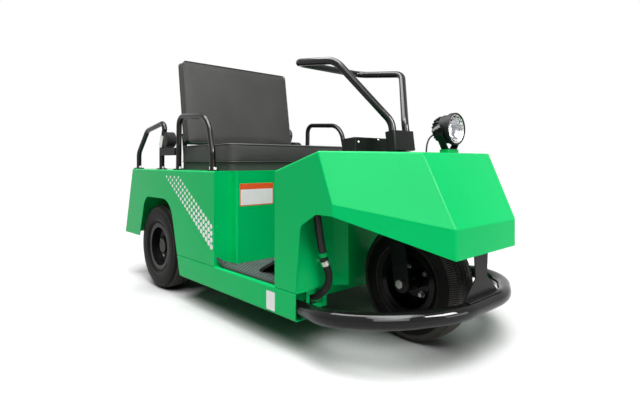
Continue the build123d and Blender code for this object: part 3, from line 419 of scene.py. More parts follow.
def scatter_tree():
    """Sets a shape on every point by its turn and size, and makes one mesh of them."""
    tree = bpy.data.node_groups.new("set shapes on points", "GeometryNodeTree")
    sockets = {}
    kinds = {"Points": "Geometry", "Shape": "Object", "Finish": "Material", "Size": "Float"}
    for name, kind in kinds.items():
        socket = tree.interface.new_socket(name, in_out="INPUT", socket_type=f"NodeSocket{kind}")
        sockets[name] = socket.identifier
    tree.interface.new_socket("Mesh", in_out="OUTPUT", socket_type="NodeSocketGeometry")
    entry = tree.nodes.new("NodeGroupInput")
    shape = new_node(tree, "GeometryNodeObjectInfo", {"Object": entry.outputs["Shape"]})
    turn = new_node(tree, "GeometryNodeInputNamedAttribute", {"Name": "turn"}, data_type="FLOAT_VECTOR")
    size = new_node(tree, "GeometryNodeInputNamedAttribute", {"Name": "size"}, data_type="FLOAT_VECTOR")
    inputs = {0: size.outputs[0], "Scale": entry.outputs["Size"]}
    scale = new_node(tree, "ShaderNodeVectorMath", inputs, operation="SCALE")
    inputs = {
        "Points": entry.outputs["Points"],
        "Instance": shape.outputs["Geometry"],
        "Rotation": turn.outputs[0],
        "Scale": scale.outputs[0],
    }
    spread = new_node(tree, "GeometryNodeInstanceOnPoints", inputs)
    joined = new_node(tree, "GeometryNodeRealizeInstances", {"Geometry": spread.outputs[0]})
    inputs = {"Geometry": joined.outputs[0], "Material": entry.outputs["Finish"]}
    painted = new_node(tree, "GeometryNodeSetMaterial", inputs)
    leave = tree.nodes.new("NodeGroupOutput")
    tree.links.new(painted.outputs[0], leave.inputs[0])
    return tree, sockets


set_shapes, set_sockets = scatter_tree()


def scatter(name, shape, spots, paint, body, size=1.0, crease=35):
    """One mesh of a shape repeated at spots of place, turn and size."""
    points = bpy.data.meshes.new(name)
    points.from_pydata([tuple(place) for place, turn, scale in spots], [], [])
    for key, column in (("turn", 1), ("size", 2)):
        values = points.attributes.new(key, "FLOAT_VECTOR", "POINT").data
        for value, spot in zip(values, spots):
            value.vector = spot[column]
    carrier = bpy.data.objects.new(name + "_points", points)
    scene.collection.objects.link(carrier)
    pattern_mesh = bpy.data.meshes.new(name + "_shape")
    bmesh.ops.recalc_face_normals(shape, faces=shape.faces)
    shape.to_mesh(pattern_mesh)
    shape.free()
    pattern = bpy.data.objects.new(name + "_shape", pattern_mesh)
    modifier = carrier.modifiers.new("shapes", "NODES")
    modifier.node_group = set_shapes
    modifier[set_sockets["Shape"]] = pattern
    modifier[set_sockets["Finish"]] = paint
    modifier[set_sockets["Size"]] = size
    mesh = made_mesh(carrier)
    mesh.name = name
    bpy.data.objects.remove(carrier)
    bpy.data.objects.remove(pattern)
    return dress(bpy.data.objects.new(name, mesh), paint, body, crease)


def hex_bolt(width, height, washer):
    """A hexagon head with a chamfered top on a round washer, standing along Z."""
    corner_r = 0.577 * width
    disc = ((0, 0), (0, washer / 2), (0.16 * height, washer / 2), (0.16 * height, 0))
    head = (
        (0.15 * height, 0),
        (0.15 * height, corner_r),
        (0.85 * height, corner_r),
        (0.99 * height, 0.46 * width),
        (0.99 * height, 0),
    )
    upright = Matrix.Rotation(pi / 2, 4, "Z") @ Matrix.Rotation(pi / 2, 4, "X")
    bm = bmesh.new()
    turned(bm, disc, 20, upright, closed=False)
    turned(bm, head, 6, upright, closed=False)
    return bm


def pan_screw(width, height):
    """A low domed screw head with a flat top, standing along Z."""
    profile = ((0.0, 0.0), (0.0, width / 2), (0.45 * height, width / 2), (height, 0.3 * width), (height, 0.0))
    bm = bmesh.new()
    turned(bm, profile, 14, Matrix.Rotation(pi / 2, 4, "X"), closed=False)
    return bm


# Camera, light and floor

def place_camera():
    """The photograph's view: image 640 by 400, level, principal point off centre."""
    image_width, image_height = 640, 400
    focal_px = 459.5
    principal_px = (345.5, 161.4)
    ahead_of_rear_axle, right_of_middle, above_floor = 2.348, 1.366, 0.646
    looking = Vector((-0.715, 0.699, 0))
    data = bpy.data.cameras.new("camera")
    data.sensor_width = 36.0
    data.lens = focal_px * data.sensor_width / image_width
    data.shift_x = (image_width / 2 - principal_px[0]) / image_width
    data.shift_y = (principal_px[1] - image_height / 2) / image_width
    data.clip_start = 0.05
    camera = bpy.data.objects.new("camera", data)
    camera.location = (rear_axle_x + ahead_of_rear_axle, -right_of_middle, above_floor)
    camera.rotation_euler = looking.to_track_quat("-Z", "Y").to_euler()
    scene.collection.objects.link(camera)
    scene.camera = camera


def seen_directly(tree):
    """1 for rays that show the backdrop itself, 0 for rays that carry its light."""
    rays = new_node(tree, "ShaderNodeLightPath").outputs
    inputs = {0: rays["Is Glossy Ray"], 1: rays["Is Transmission Ray"]}
    mirrored = new_node(tree, "ShaderNodeMath", inputs, operation="MAXIMUM")
    inputs = {0: mirrored.outputs[0], 1: rays["Is Camera Ray"]}
    return new_node(tree, "ShaderNodeMath", inputs, operation="MAXIMUM").outputs[0]


def show_or_light(tree, lit, shown, output):
    """One shader for the rays that carry light and another for those that show the backdrop."""
    inputs = {0: seen_directly(tree), 1: lit.outputs[0], 2: shown.outputs[0]}
    choice = new_node(tree, "ShaderNodeMixShader", inputs)
    leave = new_node(tree, output)
    tree.links.new(choice.outputs[0], leave.inputs["Surface"])


def light_world(strength):
    world = bpy.data.worlds.new("studio")
    world.use_nodes = True
    tree = world.node_tree
    tree.nodes.clear()
    lit = new_node(tree, "ShaderNodeBackground", {"Color": (1, 1, 1, 1), "Strength": strength})
    shown = new_node(tree, "ShaderNodeBackground", {"Color": (1, 1, 1, 1), "Strength": 1.0})
    show_or_light(tree, lit, shown, "ShaderNodeOutputWorld")
    scene.world = world


def area_light(name, place, aim, width, height, watts):
    data = bpy.data.lights.new(name, "AREA")
    data.shape = "RECTANGLE"
    data.size = width
    data.size_y = height
    data.energy = watts
    lamp = bpy.data.objects.new(name, data)
    lamp.location = place
    lamp.rotation_euler = (Vector(aim) - Vector(place)).to_track_quat("-Z", "Y").to_euler()
    scene.collection.objects.link(lamp)
    return lamp


def reflection_card(name, place, aim, width, height, watts):
    """A panel that only shiny surfaces show."""
    card = area_light(name, place, aim, width, height, watts)
    card.visible_diffuse = False
    card.visible_camera = False


def soft_sun(towards, strength, spread):
    """Even light from a wide patch of the studio's ceiling."""
    data = bpy.data.lights.new("ceiling", "SUN")
    data.energy = strength
    data.angle = radians(spread)
    lamp = bpy.data.objects.new("ceiling", data)
    lamp.rotation_euler = Vector(towards).to_track_quat("Z", "Y").to_euler()
    scene.collection.objects.link(lamp)


def lay_floor(bounce, shade, reach_of_shade):
    """A floor that shows white where nothing stands near, with a painted shadow that darkens with ambient
    occlusion near the object, and throws less light back than it shows.
    """
    reach = 20
    corners = [(-reach, -reach, 0), (reach, -reach, 0), (reach, reach, 0), (-reach, reach, 0)]
    mesh = bpy.data.meshes.new("floor")
    mesh.from_pydata(corners, [], [(0, 1, 2, 3)])
    floor = bpy.data.objects.new("floor", mesh)
    scene.collection.objects.link(floor)
    material = bpy.data.materials.new("pale floor")
    material.use_nodes = True
    tree = material.node_tree
    tree.nodes.clear()
    # Painted shadow: the shown floor colour falls from white towards the shade tone as ambient occlusion closes
    # in.
    open_sky = new_node(tree, "ShaderNodeAmbientOcclusion", {"Distance": reach_of_shade}, samples=8)
    inputs = {"Value": open_sky.outputs["AO"], "To Min": shade, "To Max": 1.0}
    pale = new_node(tree, "ShaderNodeMapRange", inputs)
    lit = new_node(tree, "ShaderNodeBsdfDiffuse", {"Color": (bounce, bounce, bounce, 1)})
    shown = new_node(tree, "ShaderNodeBsdfDiffuse", {"Color": pale.outputs[0]})
    show_or_light(tree, lit, shown, "ShaderNodeOutputMaterial")
    mesh.materials.append(material)


scene.view_settings.view_transform = "Standard"
place_camera()
light_world(strength=0.08)
soft_sun(towards=(0.42, -0.38, 1.0), strength=3.5, spread=40)
area_light(
    "overhead strip", place=(0.75, -0.6, 2.4), aim=(0.6, -0.3, 0.3), width=2.2, height=0.3, watts=24,
)
area_light(
    "front softbox", place=(2.7, 0.5, 0.55), aim=(0.95, 0, 0.5), width=1.2, height=0.6, watts=12,
)
reflection_card(
    "overhead card", place=(0.8, -0.55, 2.3), aim=(0.8, -0.55, 0), width=3.2, height=1.5, watts=170,
)
reflection_card(
    "sheen card", place=(2.9, -2.15, 2.1), aim=(0.83, -0.31, 0.57), width=2.4, height=1.6, watts=96,
)
reflection_card(
    "edge card", place=(2.99, 0.37, 1.86), aim=(0.96, -0.20, 0.53), width=1.0, height=0.8, watts=150,
)
lay_floor(bounce=0.42, shade=0.05, reach_of_shade=0.34)


# Tyres

tyre_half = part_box("front_tyre")[1].y
bead_half, bead_r, flange_r = 0.046, 0.1023, 0.1186
tread_half, tread_depth = 0.047, 0.0060
tyre_wall = curve_through(
    [
        (bead_half, flange_r),
        (0.055, 0.129),
        (0.0612, 0.142),
        (tyre_half - 0.0002, 0.1625),
        (0.0605, 0.183),
        (0.0555, 0.197),
        (0.0505, 0.2045),
        (tread_half, 0.2075),
    ],
    steps=5,
)
ridge_rings = (0.1385, 0.1735, 0.1925)
ridge_reach = 0.0011
zigzag_tread = {
    "centres": (-0.0285, -0.0095, 0.0095, 0.0285), "rib_half": 0.0068, "swing": 0.0028, "zigs": 150,
}
straight_tread = {
    "centres": (-0.036, -0.018, 0.0, 0.018, 0.036), "rib_half": 0.0062, "swing": 0.0, "zigs": 60,
}


def tyre(place_name, hub, body, tread):
    """A carcass with a sunk tread floor, and the ribs of its tread and ridges of its walls."""
    floor_r = wheel_r - tread_depth
    bead = [(bead_half - 0.004, bead_r), (bead_half, bead_r + 0.002)]
    tread_floor = [(tread_half - 0.001, floor_r - 0.003), (0.024, floor_r)]
    half = bead + tyre_wall + tread_floor
    section = half + [(-along, radius) for along, radius in reversed(half)]
    bm = bmesh.new()
    turned(bm, section, 144, Matrix.Translation(hub))
    carcass = piece(f"{place_name}_tyre_carcass", bm, tyre_rubber, body, crease=32)
    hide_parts(f"{place_name}_tyre")
    bm = bmesh.new()
    for centre in tread["centres"]:
        tread_rib(bm, hub, centre, tread)
    for along, radius in tyre_wall:
        if any(abs(radius - ring) < ridge_reach for ring in ridge_rings):
            wall_ridges(bm, hub, along, radius)
    # The ribs and wall ridges take the lighter rubber: a painted highlight on the raised tread.
    piece(f"{place_name}_tread_ribs", bm, painted_highlight_tread_rubber, body, crease=20)


def wall_ridges(bm, hub, along, radius):
    """A low ridge round each side wall."""
    half, rise = 0.0012, 0.0009
    for side in (-1, 1):
        top = side * (along + rise)
        ridge = ((side * along, radius - half), (top, radius), (side * along, radius + half))
        turned(bm, ridge, 96, Matrix.Translation(hub))


def crown_drop(along):
    """How far the tread's crown lies below its middle."""
    return 0.0030 * (along / 0.043) ** 2


def tread_rib(bm, hub, centre, tread):
    """A rib round the tyre that swings from side to side, with a foot sunk in the tread floor."""
    sunk, flare = 0.002, 0.0012
    corners = ((-1, -sunk, flare), (-1, tread_depth, 0), (1, tread_depth, 0), (1, -sunk, flare))
    steps = 2 * tread["zigs"]
    rings = []
    for step in range(steps):
        shift = centre + (tread["swing"] if step % 2 else -tread["swing"])
        ring = []
        for side, level, spread in corners:
            along = shift + side * (tread["rib_half"] + spread)
            radius = wheel_r - tread_depth + level - crown_drop(along)
            ring.append(bm.verts.new(hub + about_y(radius, along, tau * step / steps)))
        rings.append(ring)
    walls(bm, rings + rings[:1])


def shoulder_sipes(place_name, hub, body):
    """Short blocks across both shoulders, all the way round."""
    count, thick = 170, 0.0036
    outline = (
        (0.0375, 0.2040), (0.0375, 0.2101), (0.0465, 0.2088), (0.0522, 0.2055), (0.0578, 0.1985),
        (0.0610, 0.1895), (0.0617, 0.1835), (0.0590, 0.1835), (0.0545, 0.1945),
    )
    bm = bmesh.new()
    for side in (-1, 1):
        layers = []
        for z in (-thick / 2, thick / 2):
            layers.append([bm.verts.new((radius, side * along, z)) for along, radius in outline])
        capped(bm, layers)
    spots = [(hub, (0, tau * k / count, 0), full_size) for k in range(count)]
    # The shoulder blocks take the lighter rubber: a painted highlight.
    scatter(f"{place_name}_shoulder_sipes", bm, spots, painted_highlight_tread_rubber, body, crease=20)


tyre("front", front_hub, "front_wheel", zigzag_tread)
shoulder_sipes("front", front_hub, "front_wheel")
for side in ("left", "right"):
    tyre(f"rear_{side}", rear_hubs[side], f"rear_{side}_wheel", straight_tread)


# Wheel fastenings

def lug_nuts(name, hub, face_y, out, first_angle, body):
    count, circle_r = 4, 0.057
    face = Vector((hub.x, face_y, hub.z))
    spots = []
    for k in range(count):
        place = face + about_y(circle_r, 0, radians(first_angle) + tau * k / count)
        spots.append((place, (-out * pi / 2, 0, 0), full_size))
    nut = hex_bolt(width=0.017, height=0.017, washer=0.022)
    scatter(name, nut, spots, dull_zinc, body, crease=30)


hub_face = 0.005
lug_nuts("front_lug_nuts", front_hub, face_y=0.0, out=-1, first_angle=32, body="front_wheel")
for side, out in (("left", 1), ("right", -1)):
    face_y = rear_hubs[side].y + out * hub_face
    lug_nuts(f"rear_{side}_lug_nuts", rear_hubs[side], face_y, out, first_angle=69, body=f"rear_{side}_wheel")


# Halftone band on both side panels

def halftone_band():
    """Slanted rows of film dots that grow towards the front."""
    rows, columns = 21, 4
    first_ahead, row_step, column_step = 0.154, 0.02205, 0.0433
    first_z, row_drop = 0.572, 0.01404
    last_ahead = 0.600
    small, large = 0.0125, 0.0235
    film = 0.0004
    bm = bmesh.new()
    lying = Matrix.Rotation(pi / 2, 4, "X")
    bmesh.ops.create_cone(
        bm, cap_ends=True, segments=24, radius1=0.5, radius2=0.5, depth=1.0, matrix=lying
    )
    spots = []
    for out in (-1, 1):
        for row in range(rows):
            size = small + (large - small) * row / (rows - 1)
            for column in range(columns):
                ahead = first_ahead + row * row_step + column * column_step
                if ahead <= last_ahead:
                    place = (rear_axle_x + ahead, out * body_half, first_z - row * row_drop)
                    spots.append((place, unturned, (size, film, size)))
    scatter("halftone_band", bm, spots, white_film, "chassis")


halftone_band()


# Seat

pad_voxel = 0.0064
stuffing_pressure = 4
stuffing_frames = 20


def pad_block(half_long, half_wide, corner, levels, place):
    """A closed block of rounded rings at levels of height and inset."""
    bm = bmesh.new()
    rings = []
    for height, inset in levels:
        ring = rounded_ring(half_long - inset, half_wide - inset, corner - inset)
        rings.append([bm.verts.new(place @ Vector((u, v, height))) for u, v in ring])
    capped(bm, rings)
    bmesh.ops.recalc_face_normals(bm, faces=bm.faces)
    return bm


def settle(item, kind, **settings):
    """Gives an object the mesh that one modifier makes of it."""
    modifier = item.modifiers.new("settle", kind)
    for key, value in settings.items():
        setattr(modifier, key, value)
    mesh = made_mesh(item)
    item.modifiers.remove(modifier)
    item.data = mesh


def swell(item, held, cap):
    """Swells a pad by cloth under pressure. Held points stay, and none moves further than the cap."""
    start = [vert.co.copy() for vert in item.data.vertices]
    group = item.vertex_groups.new(name="held")
    group.add([k for k, spot in enumerate(start) if held(spot)], 1.0, "REPLACE")
    cloth = item.modifiers.new("stuffing", "CLOTH")
    cloth.settings.vertex_group_mass = "held"
    cloth.settings.use_pressure = True
    cloth.settings.uniform_pressure_force = stuffing_pressure
    cloth.settings.effector_weights.gravity = 0
    for step in range(1, stuffing_frames + 1):
        scene.frame_set(step)
    evaluated = item.evaluated_get(bpy.context.evaluated_depsgraph_get())
    swollen = [vert.co.copy() for vert in evaluated.data.vertices]
    item.modifiers.remove(cloth)
    item.vertex_groups.clear()
    scene.frame_set(1)
    for vert, before, after in zip(item.data.vertices, start, swollen):
        move = after - before
        vert.co = before + move.normalized() * cap * tanh(move.length / cap)


def welt(name, points, radius):
    """Piping sewn into a seam, much darker than the seat vinyl: painted shade along the seam."""
    line, seam = round_line("line", "POLY", points, radius, facets=4)
    seam.use_cyclic_u = True
    mesh = made_mesh(line)
    bpy.data.objects.remove(line)
    dress(bpy.data.objects.new(name, mesh), painted_seam_shade_vinyl, "chassis", crease=60)


def seat_pad(name, node, size, corner, place, edge, cap):
    """A boxed pad: a held base and a held edge, and stuffing that crowns its face and fills its walls."""
    long, wide, thick = size
    face = thick - 0.6 * cap
    wall_inset, edge_steps = 0.0008, 4
    held_base, held_wall = 0.006, 0.004
    welt_height, welt_r = 0.004, 0.0022
    levels = [(0.0, 0.004), (0.002, 0.0015), (0.004, wall_inset)]
    for step in range(edge_steps + 1):
        angle = pi / 2 * step / edge_steps
        levels.append((face - edge + edge * sin(angle), wall_inset + edge * (1 - cos(angle))))
    mesh = bpy.data.meshes.new(name)
    block = pad_block(long / 2, wide / 2, corner, levels, place)
    block.to_mesh(mesh)
    block.free()
    item = bpy.data.objects.new(name, mesh)
    scene.collection.objects.link(item)
    settle(item, "REMESH", mode="VOXEL", voxel_size=pad_voxel)
    back_to_pad = place.inverted()

    def held(spot):
        height = (back_to_pad @ spot).z
        return height < held_base or face - edge - held_wall < height < face - 0.2 * edge

    swell(item, held, cap)
    settle(item, "SUBSURF", levels=1, render_levels=1)
    dress(item, seat_vinyl, "chassis", crease=60)
    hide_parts(node)
    for seam, height, inset in (("face", face - 0.3 * edge, 0.2 * edge), ("base", welt_height, 0.0)):
        outline = rounded_ring(long / 2 - inset, wide / 2 - inset, corner - inset)
        welt(f"{name}_{seam}_welt", [place @ Vector((u, v, height)) for u, v in outline], welt_r)


cushion_low, cushion_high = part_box("seat_cushion")
cushion_size = cushion_high - cushion_low
cushion_place = Matrix.Translation(((cushion_low.x + cushion_high.x) / 2, 0, cushion_low.z))
seat_pad(
    "seat_cushion_pad", "seat_cushion", cushion_size, corner=0.038, place=cushion_place, edge=0.012, cap=0.006
)

back_lean = radians(8.5)
back_thick = 0.058
back_foot_z = 0.742
back_wide = 2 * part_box("seat_back")[1].y
back_long = (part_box("seat_back")[1].z - back_foot_z) / cos(back_lean)
back_up = Vector((-sin(back_lean), 0, cos(back_lean)))
back_out = Vector((cos(back_lean), 0, sin(back_lean)))
back_middle = Vector((cushion_low.x, 0, back_foot_z)) + back_up * back_long / 2 - back_out * back_thick
back_turn = Matrix((back_up, (0, -1, 0), back_out)).transposed().to_4x4()
back_place = Matrix.Translation(back_middle) @ back_turn
back_size = (back_long, back_wide, back_thick)
seat_pad("seat_back_pad", "seat_back", back_size, corner=0.018, place=back_place, edge=0.007, cap=0.004)


# Headlamp

lamp_low, lamp_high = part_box("headlamp")
lamp_r = (lamp_high.z - lamp_low.z) / 2
lamp_depth = lamp_high.x - lamp_low.x
lamp_front = Vector((lamp_high.x, 0, (lamp_low.z + lamp_high.z) / 2))
lamp_place = Matrix.Translation(lamp_front) @ Matrix.Rotation(-pi / 2, 4, "Z")


def lamp_housing():
    """A stepped shell with rounded shoulders and a deep front cavity."""
    steps = ((0.018, 0.0), (0.046, 0.006), (0.064, 0.014), (lamp_depth, 0.024))
    cavity_r, cavity_depth, lip, round_off = 0.0484, 0.042, 0.004, 0.0015
    profile = [(-cavity_depth, 0), (-cavity_depth, cavity_r), (-lip, cavity_r), (0, cavity_r + 0.002)]
    front = 0.0
    for depth, step in steps:
        radius = lamp_r - step
        profile += [(-front, radius - round_off), (-front - round_off, radius)]
        profile += [(-depth + round_off, radius), (-depth, radius - round_off)]
        front = depth
    profile.append((-lamp_depth, 0))
    shell = turned_piece(
        "headlamp_shell", profile, 72, lamp_place, black_plastic, closed=False
    )
    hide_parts("headlamp")


def lamp_reflector():
    """A bowl of flat facets round a small bulb."""
    sectors, fold, thick = 20, 0.0016, 0.0008
    rows = ((0.009, 0.0462), (0.017, 0.0415), (0.027, 0.0320), (0.034, 0.0203), (0.037, 0.0085))
    bm = bmesh.new()
    rings = []
    for row, (depth, radius) in enumerate(rows):
        ring = []
        for sector in range(sectors):
            angle = tau * (sector + 0.5 * (row % 2)) / sectors
            rise = fold if sector % 2 and 0 < row < len(rows) - 1 else 0.0
            ring.append(bm.verts.new(lamp_place @ about_y(radius, rise - depth, angle)))
        rings.append(ring)
    for row, (first, second) in enumerate(zip(rings, rings[1:])):
        for sector in range(sectors):
            after = (sector + 1) % sectors
            if row % 2:
                bm.faces.new((first[sector], first[after], second[after]))
                bm.faces.new((first[sector], second[after], second[sector]))
            else:
                bm.faces.new((first[sector], first[after], second[sector]))
                bm.faces.new((first[after], second[after], second[sector]))
    bmesh.ops.recalc_face_normals(bm, faces=bm.faces)
    bmesh.ops.solidify(bm, geom=bm.faces[:], thickness=thick)
    piece("headlamp_reflector", bm, reflector_chrome, "chassis", crease=1)


def lamp_wing_nuts():
    """A wing nut on each of the yoke's knobs."""
    knob = ((0, 0), (0, 0.006), (0.009, 0.0045), (0.009, 0))
    wing = ((0.003, -0.003), (0.013, -0.0055), (0.016, 0.0005), (0.013, 0.0055), (0.003, 0.003))
    wing_thick, wing_rise, wing_turn = 0.003, 0.006, 0.5
    bm = bmesh.new()
    turned(bm, knob, 20, Matrix.Identity(4), closed=False)
    for turn in (wing_turn, wing_turn + pi):
        prism(bm, wing, wing_thick, Matrix.Translation((0, wing_rise, 0)) @ Matrix.Rotation(turn, 4, "Y"))
    yoke_low, yoke_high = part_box("lamp_yoke")
    x = (yoke_low.x + yoke_high.x) / 2
    z = lamp_front.z
    spots = [((x, yoke_high.y, z), unturned, full_size), ((x, yoke_low.y, z), (0, 0, pi), full_size)]
    scatter("lamp_wing_nuts", bm, spots, dull_zinc, "chassis", crease=30)


def lamp_fittings():
    """The pale ring before the reflector, the bulb and the front glass."""
    ring = ((-0.0030, 0.0482), (-0.0030, 0.0468), (-0.0090, 0.0440), (-0.0100, 0.0440), (-0.0100, 0.0482))
    turned_piece("headlamp_trim_ring", ring, 72, lamp_place, bright_zinc, crease=30)
    bulb = ((-0.040, 0), (-0.040, 0.0085), (-0.030, 0.0085), (-0.028, 0.0070), (-0.024, 0.0050), (-0.022, 0))
    turned_piece("headlamp_bulb", bulb, 24, lamp_place, white_film, closed=False)
    glass_r, glass_thick, set_back, bulge = 0.0478, 0.0018, 0.0055, 0.0020
    radii = (0, 0.012, 0.024, 0.034, 0.042, glass_r)
    dome = [(-set_back + bulge * (1 - (r / glass_r) ** 2), r) for r in radii]
    profile = dome + [(along - glass_thick, r) for along, r in reversed(dome)]
    glass = turned_piece(
        "headlamp_glass", profile, 64, lamp_place, lamp_glass, crease=50, closed=False
    )
    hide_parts("headlamp_lens")


def lamp_fins():
    """Cooling fins round the lamp's rear steps."""
    count, thick = 18, 0.0022
    outline = ((-0.048, 0.037), (-0.048, 0.0465), (-0.060, 0.0465), (-0.078, 0.0390), (-0.079, 0.027))
    bm = bmesh.new()
    prism(bm, outline, thick)
    spots = [(lamp_front, (tau * k / count, 0, 0), full_size) for k in range(count)]
    scatter("headlamp_fins", bm, spots, black_plastic, "chassis")


lamp_housing()
lamp_reflector()
lamp_wing_nuts()
lamp_fittings()
lamp_fins()


# Hose and lamp lead

def cord_line(name, points, diameter, paint):
    """A smooth round line near its points, as a curve that stays a curve."""
    item, spline = round_line(name, "NURBS", points, diameter / 2, facets=6)
    item.data.resolution_u = 16
    item.data.use_fill_caps = True
    spline.order_u = 3
    spline.use_endpoint_u = True
    item.data.materials.append(paint)
    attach(item, "chassis")
    return item


def band(name, centre, along, inner_r, width, paint):
    """A short ring round a hose."""
    outer_r, round_off = inner_r + 0.0026, 0.001
    half = width / 2
    profile = (
        (-half, inner_r),
        (-half, outer_r - round_off),
        (round_off - half, outer_r),
        (half - round_off, outer_r),
        (half, outer_r - round_off),
        (half, inner_r),
    )
    turn = along.to_track_quat("Y", "Z").to_matrix().to_4x4()
    turned_piece(name, profile, 32, Matrix.Translation(centre) @ turn, paint)


def conduit_hose():
    """The hose down the right pillar, with a strap and a sleeve on its lower bend."""
    diameter = 0.026
    run_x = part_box("conduit")[1].x - diameter / 2
    wall_x = run_x - 0.0357
    tail_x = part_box("conduit")[0].x + 0.001
    points = (
        (wall_x, 0.060 - body_half, 0.522),
        (run_x, 0.060 - body_half, 0.522),
        (run_x, 0.088 - body_half, 0.332),
        (run_x, 0.133 - body_half, 0.240),
        (run_x - 0.034, 0.105 - body_half, 0.176),
        (tail_x, 0.101 - body_half, 0.173),
    )
    above, corner, below = [Vector(point) for point in points[1:4]]
    bend = (above.lerp(corner, 0.5), corner, corner.lerp(below, 0.5))
    for name, share, width, paint, slot in (
        ("hose_strap", 0.58, 0.015, green_enamel, "body_green"),
        ("hose_sleeve", 0.86, 0.010, bright_zinc, "zinc_steel"),
    ):
        first, second = bend[0].lerp(bend[1], share), bend[1].lerp(bend[2], share)
        band(name, first.lerp(second, share), second - first, diameter / 2, width, paint)
    hose = cord_line("conduit_hose", points, diameter, hose_rubber)
    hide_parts("conduit")


def headlamp_lead():
    """The lead from the back of the lamp into the cowl."""
    diameter = 0.006
    start_x = lamp_low.x - 0.0003
    foot_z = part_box("lamp_lead")[0].z
    exit_z = lamp_front.z - 0.016
    points = (
        (start_x, 0, exit_z),
        (start_x - 0.024, 0, exit_z),
        (start_x - 0.030, -0.020, foot_z + 0.028),
        (start_x - 0.030, -0.020, foot_z),
    )
    lead = cord_line("headlamp_lead", points, diameter, hose_rubber)
    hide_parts("lamp_lead")


conduit_hose()
headlamp_lead()


# Floor mat

mat_low, mat_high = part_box("floor_mat")
tunnel_x = 0.4487
tunnel_half = 0.2193
tab_long, tab_inner = 0.038, 0.354
sheet_drop = 0.0012


def mat_lift(x, y):
    """How far the mat's rear corners curl up beside the seat box."""
    curl_ahead, curl_long, curl_wide, curl_rise = 0.040, 0.080, 0.070, 0.034
    reach = (mat_low.x + curl_ahead - x) / curl_long + (abs(y) - mat_high.y + curl_wide) / curl_wide - 1
    return curl_rise * max(0.0, min(1.0, reach)) ** 1.6


def on_mat(x, y, margin=0.0):
    """Whether a place lies on the mat: a panel with a tunnel notch and two rear tabs."""
    wide = abs(y) <= mat_high.y - margin
    main = mat_low.x + margin <= x <= mat_high.x - margin
    notch = x > tunnel_x - margin and abs(y) < tunnel_half + margin
    tab = mat_low.x - tab_long + margin <= x < mat_low.x + margin and abs(y) > tab_inner + margin
    return wide and (tab or main and not notch)


def mat_sheet():
    """The mat as a sheet of small cells with its thickness."""
    cell = 0.0081
    long = mat_high.x - mat_low.x + tab_long
    wide = 2 * mat_high.y
    columns, rows = round(long / cell), round(wide / cell)
    step_x, step_y = long / columns, wide / rows
    top = mat_high.z - sheet_drop
    bm = bmesh.new()
    verts = {}

    def corner(column, row):
        if (column, row) not in verts:
            x = mat_low.x - tab_long + column * step_x
            y = row * step_y - mat_high.y
            verts[column, row] = bm.verts.new((x, y, top + mat_lift(x, y)))
        return verts[column, row]

    for column in range(columns):
        for row in range(rows):
            x = mat_low.x - tab_long + (column + 0.5) * step_x
            y = (row + 0.5) * step_y - mat_high.y
            if on_mat(x, y):
                ring = ((column, row), (column + 1, row), (column + 1, row + 1), (column, row + 1))
                bm.faces.new([corner(*spot) for spot in ring])
    bm.normal_update()
    bmesh.ops.solidify(bm, geom=bm.faces[:], thickness=top - mat_low.z)
    sheet = piece("floor_mat_sheet", bm, mat_rubber, "chassis", crease=40)
    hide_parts("floor_mat")


def mat_diamonds():
    """Raised diamonds in staggered rows over the mat."""
    pitch_x, pitch_y = 0.021, 0.013
    long, wide, height = 0.0165, 0.0078, 0.0014
    crown_share, edge_margin = 0.6, 0.009
    first_x = mat_low.x - 0.034
    top = mat_high.z - height
    corners = ((long / 2, 0), (0, wide / 2), (-long / 2, 0), (0, -wide / 2))
    bm = bmesh.new()
    layers = []
    for share, z in ((1.0, 0.0), (crown_share, height)):
        layers.append([bm.verts.new((share * x, share * y, z)) for x, y in corners])
    capped(bm, layers)
    spots = []
    for column in range(int((mat_high.x - mat_low.x + tab_long) / pitch_x)):
        for row in range(int(2 * mat_high.y / pitch_y)):
            x = first_x + column * pitch_x + (row % 2) * pitch_x / 2
            y = (row + 0.5) * pitch_y - mat_high.y
            if on_mat(x, y, edge_margin):
                spots.append(((x, y, top + mat_lift(x, y)), unturned, full_size))
    # The diamonds are lighter than the mat beneath them: a painted highlight.
    scatter("floor_mat_diamonds", bm, spots, painted_highlight_mat_rubber, "chassis")


mat_sheet()
mat_diamonds()


# Plain plates

def plate(name, normal_axis, face, low, high, paint, thick=0.0005, corner=0.004):
    """A thin plate with round corners on an upright face: across then up, from a low to a high corner."""
    sunk = 0.0002
    across, up = (low[0] + high[0]) / 2, (low[1] + high[1]) / 2
    outline = rounded_ring((high[0] - low[0]) / 2, (high[1] - low[1]) / 2, corner, steps=4)
    bm = bmesh.new()
    layers = []
    for depth in (-sunk, thick):
        if normal_axis == "X":
            spots = [(face + depth, across + u, up + v) for u, v in outline]
        else:
            spots = [(across + u, face - depth, up + v) for u, v in outline]
        layers.append([bm.verts.new(spot) for spot in spots])
    capped(bm, layers)
    piece(name, bm, paint, "chassis", crease=40)


box_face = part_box("seat_box_front")[1].x
plate("seat_box_plate_edge", "X", box_face, (-0.336, 0.457), (-0.166, 0.552), orange_film)
plate("seat_box_plate", "X", box_face + 0.0004, (-0.332, 0.461), (-0.170, 0.527), white_film, corner=0.002)
plate("sill_plate", "Y", -body_half, (0.383, 0.127), (0.433, 0.192), white_film, corner=0.002)


# Hoops, dash, pedals and tail lamps

hoop_y = body_half - 0.033


def hoop_foot_bolts():
    """Two bolts through each foot of the armrests and the rear rails."""
    feet_ahead = (0.214, 0.546, -0.288, 0.020)
    foot_top = deck_z + 0.005
    half_apart = 0.0192
    spots = []
    for out in (-1, 1):
        for foot in feet_ahead:
            for along in (-half_apart, half_apart):
                spots.append(((rear_axle_x + foot + along, out * hoop_y, foot_top), unturned, full_size))
    bolt = hex_bolt(width=0.012, height=0.010, washer=0.016)
    scatter("hoop_foot_bolts", bolt, spots, bright_zinc, "chassis", crease=30)


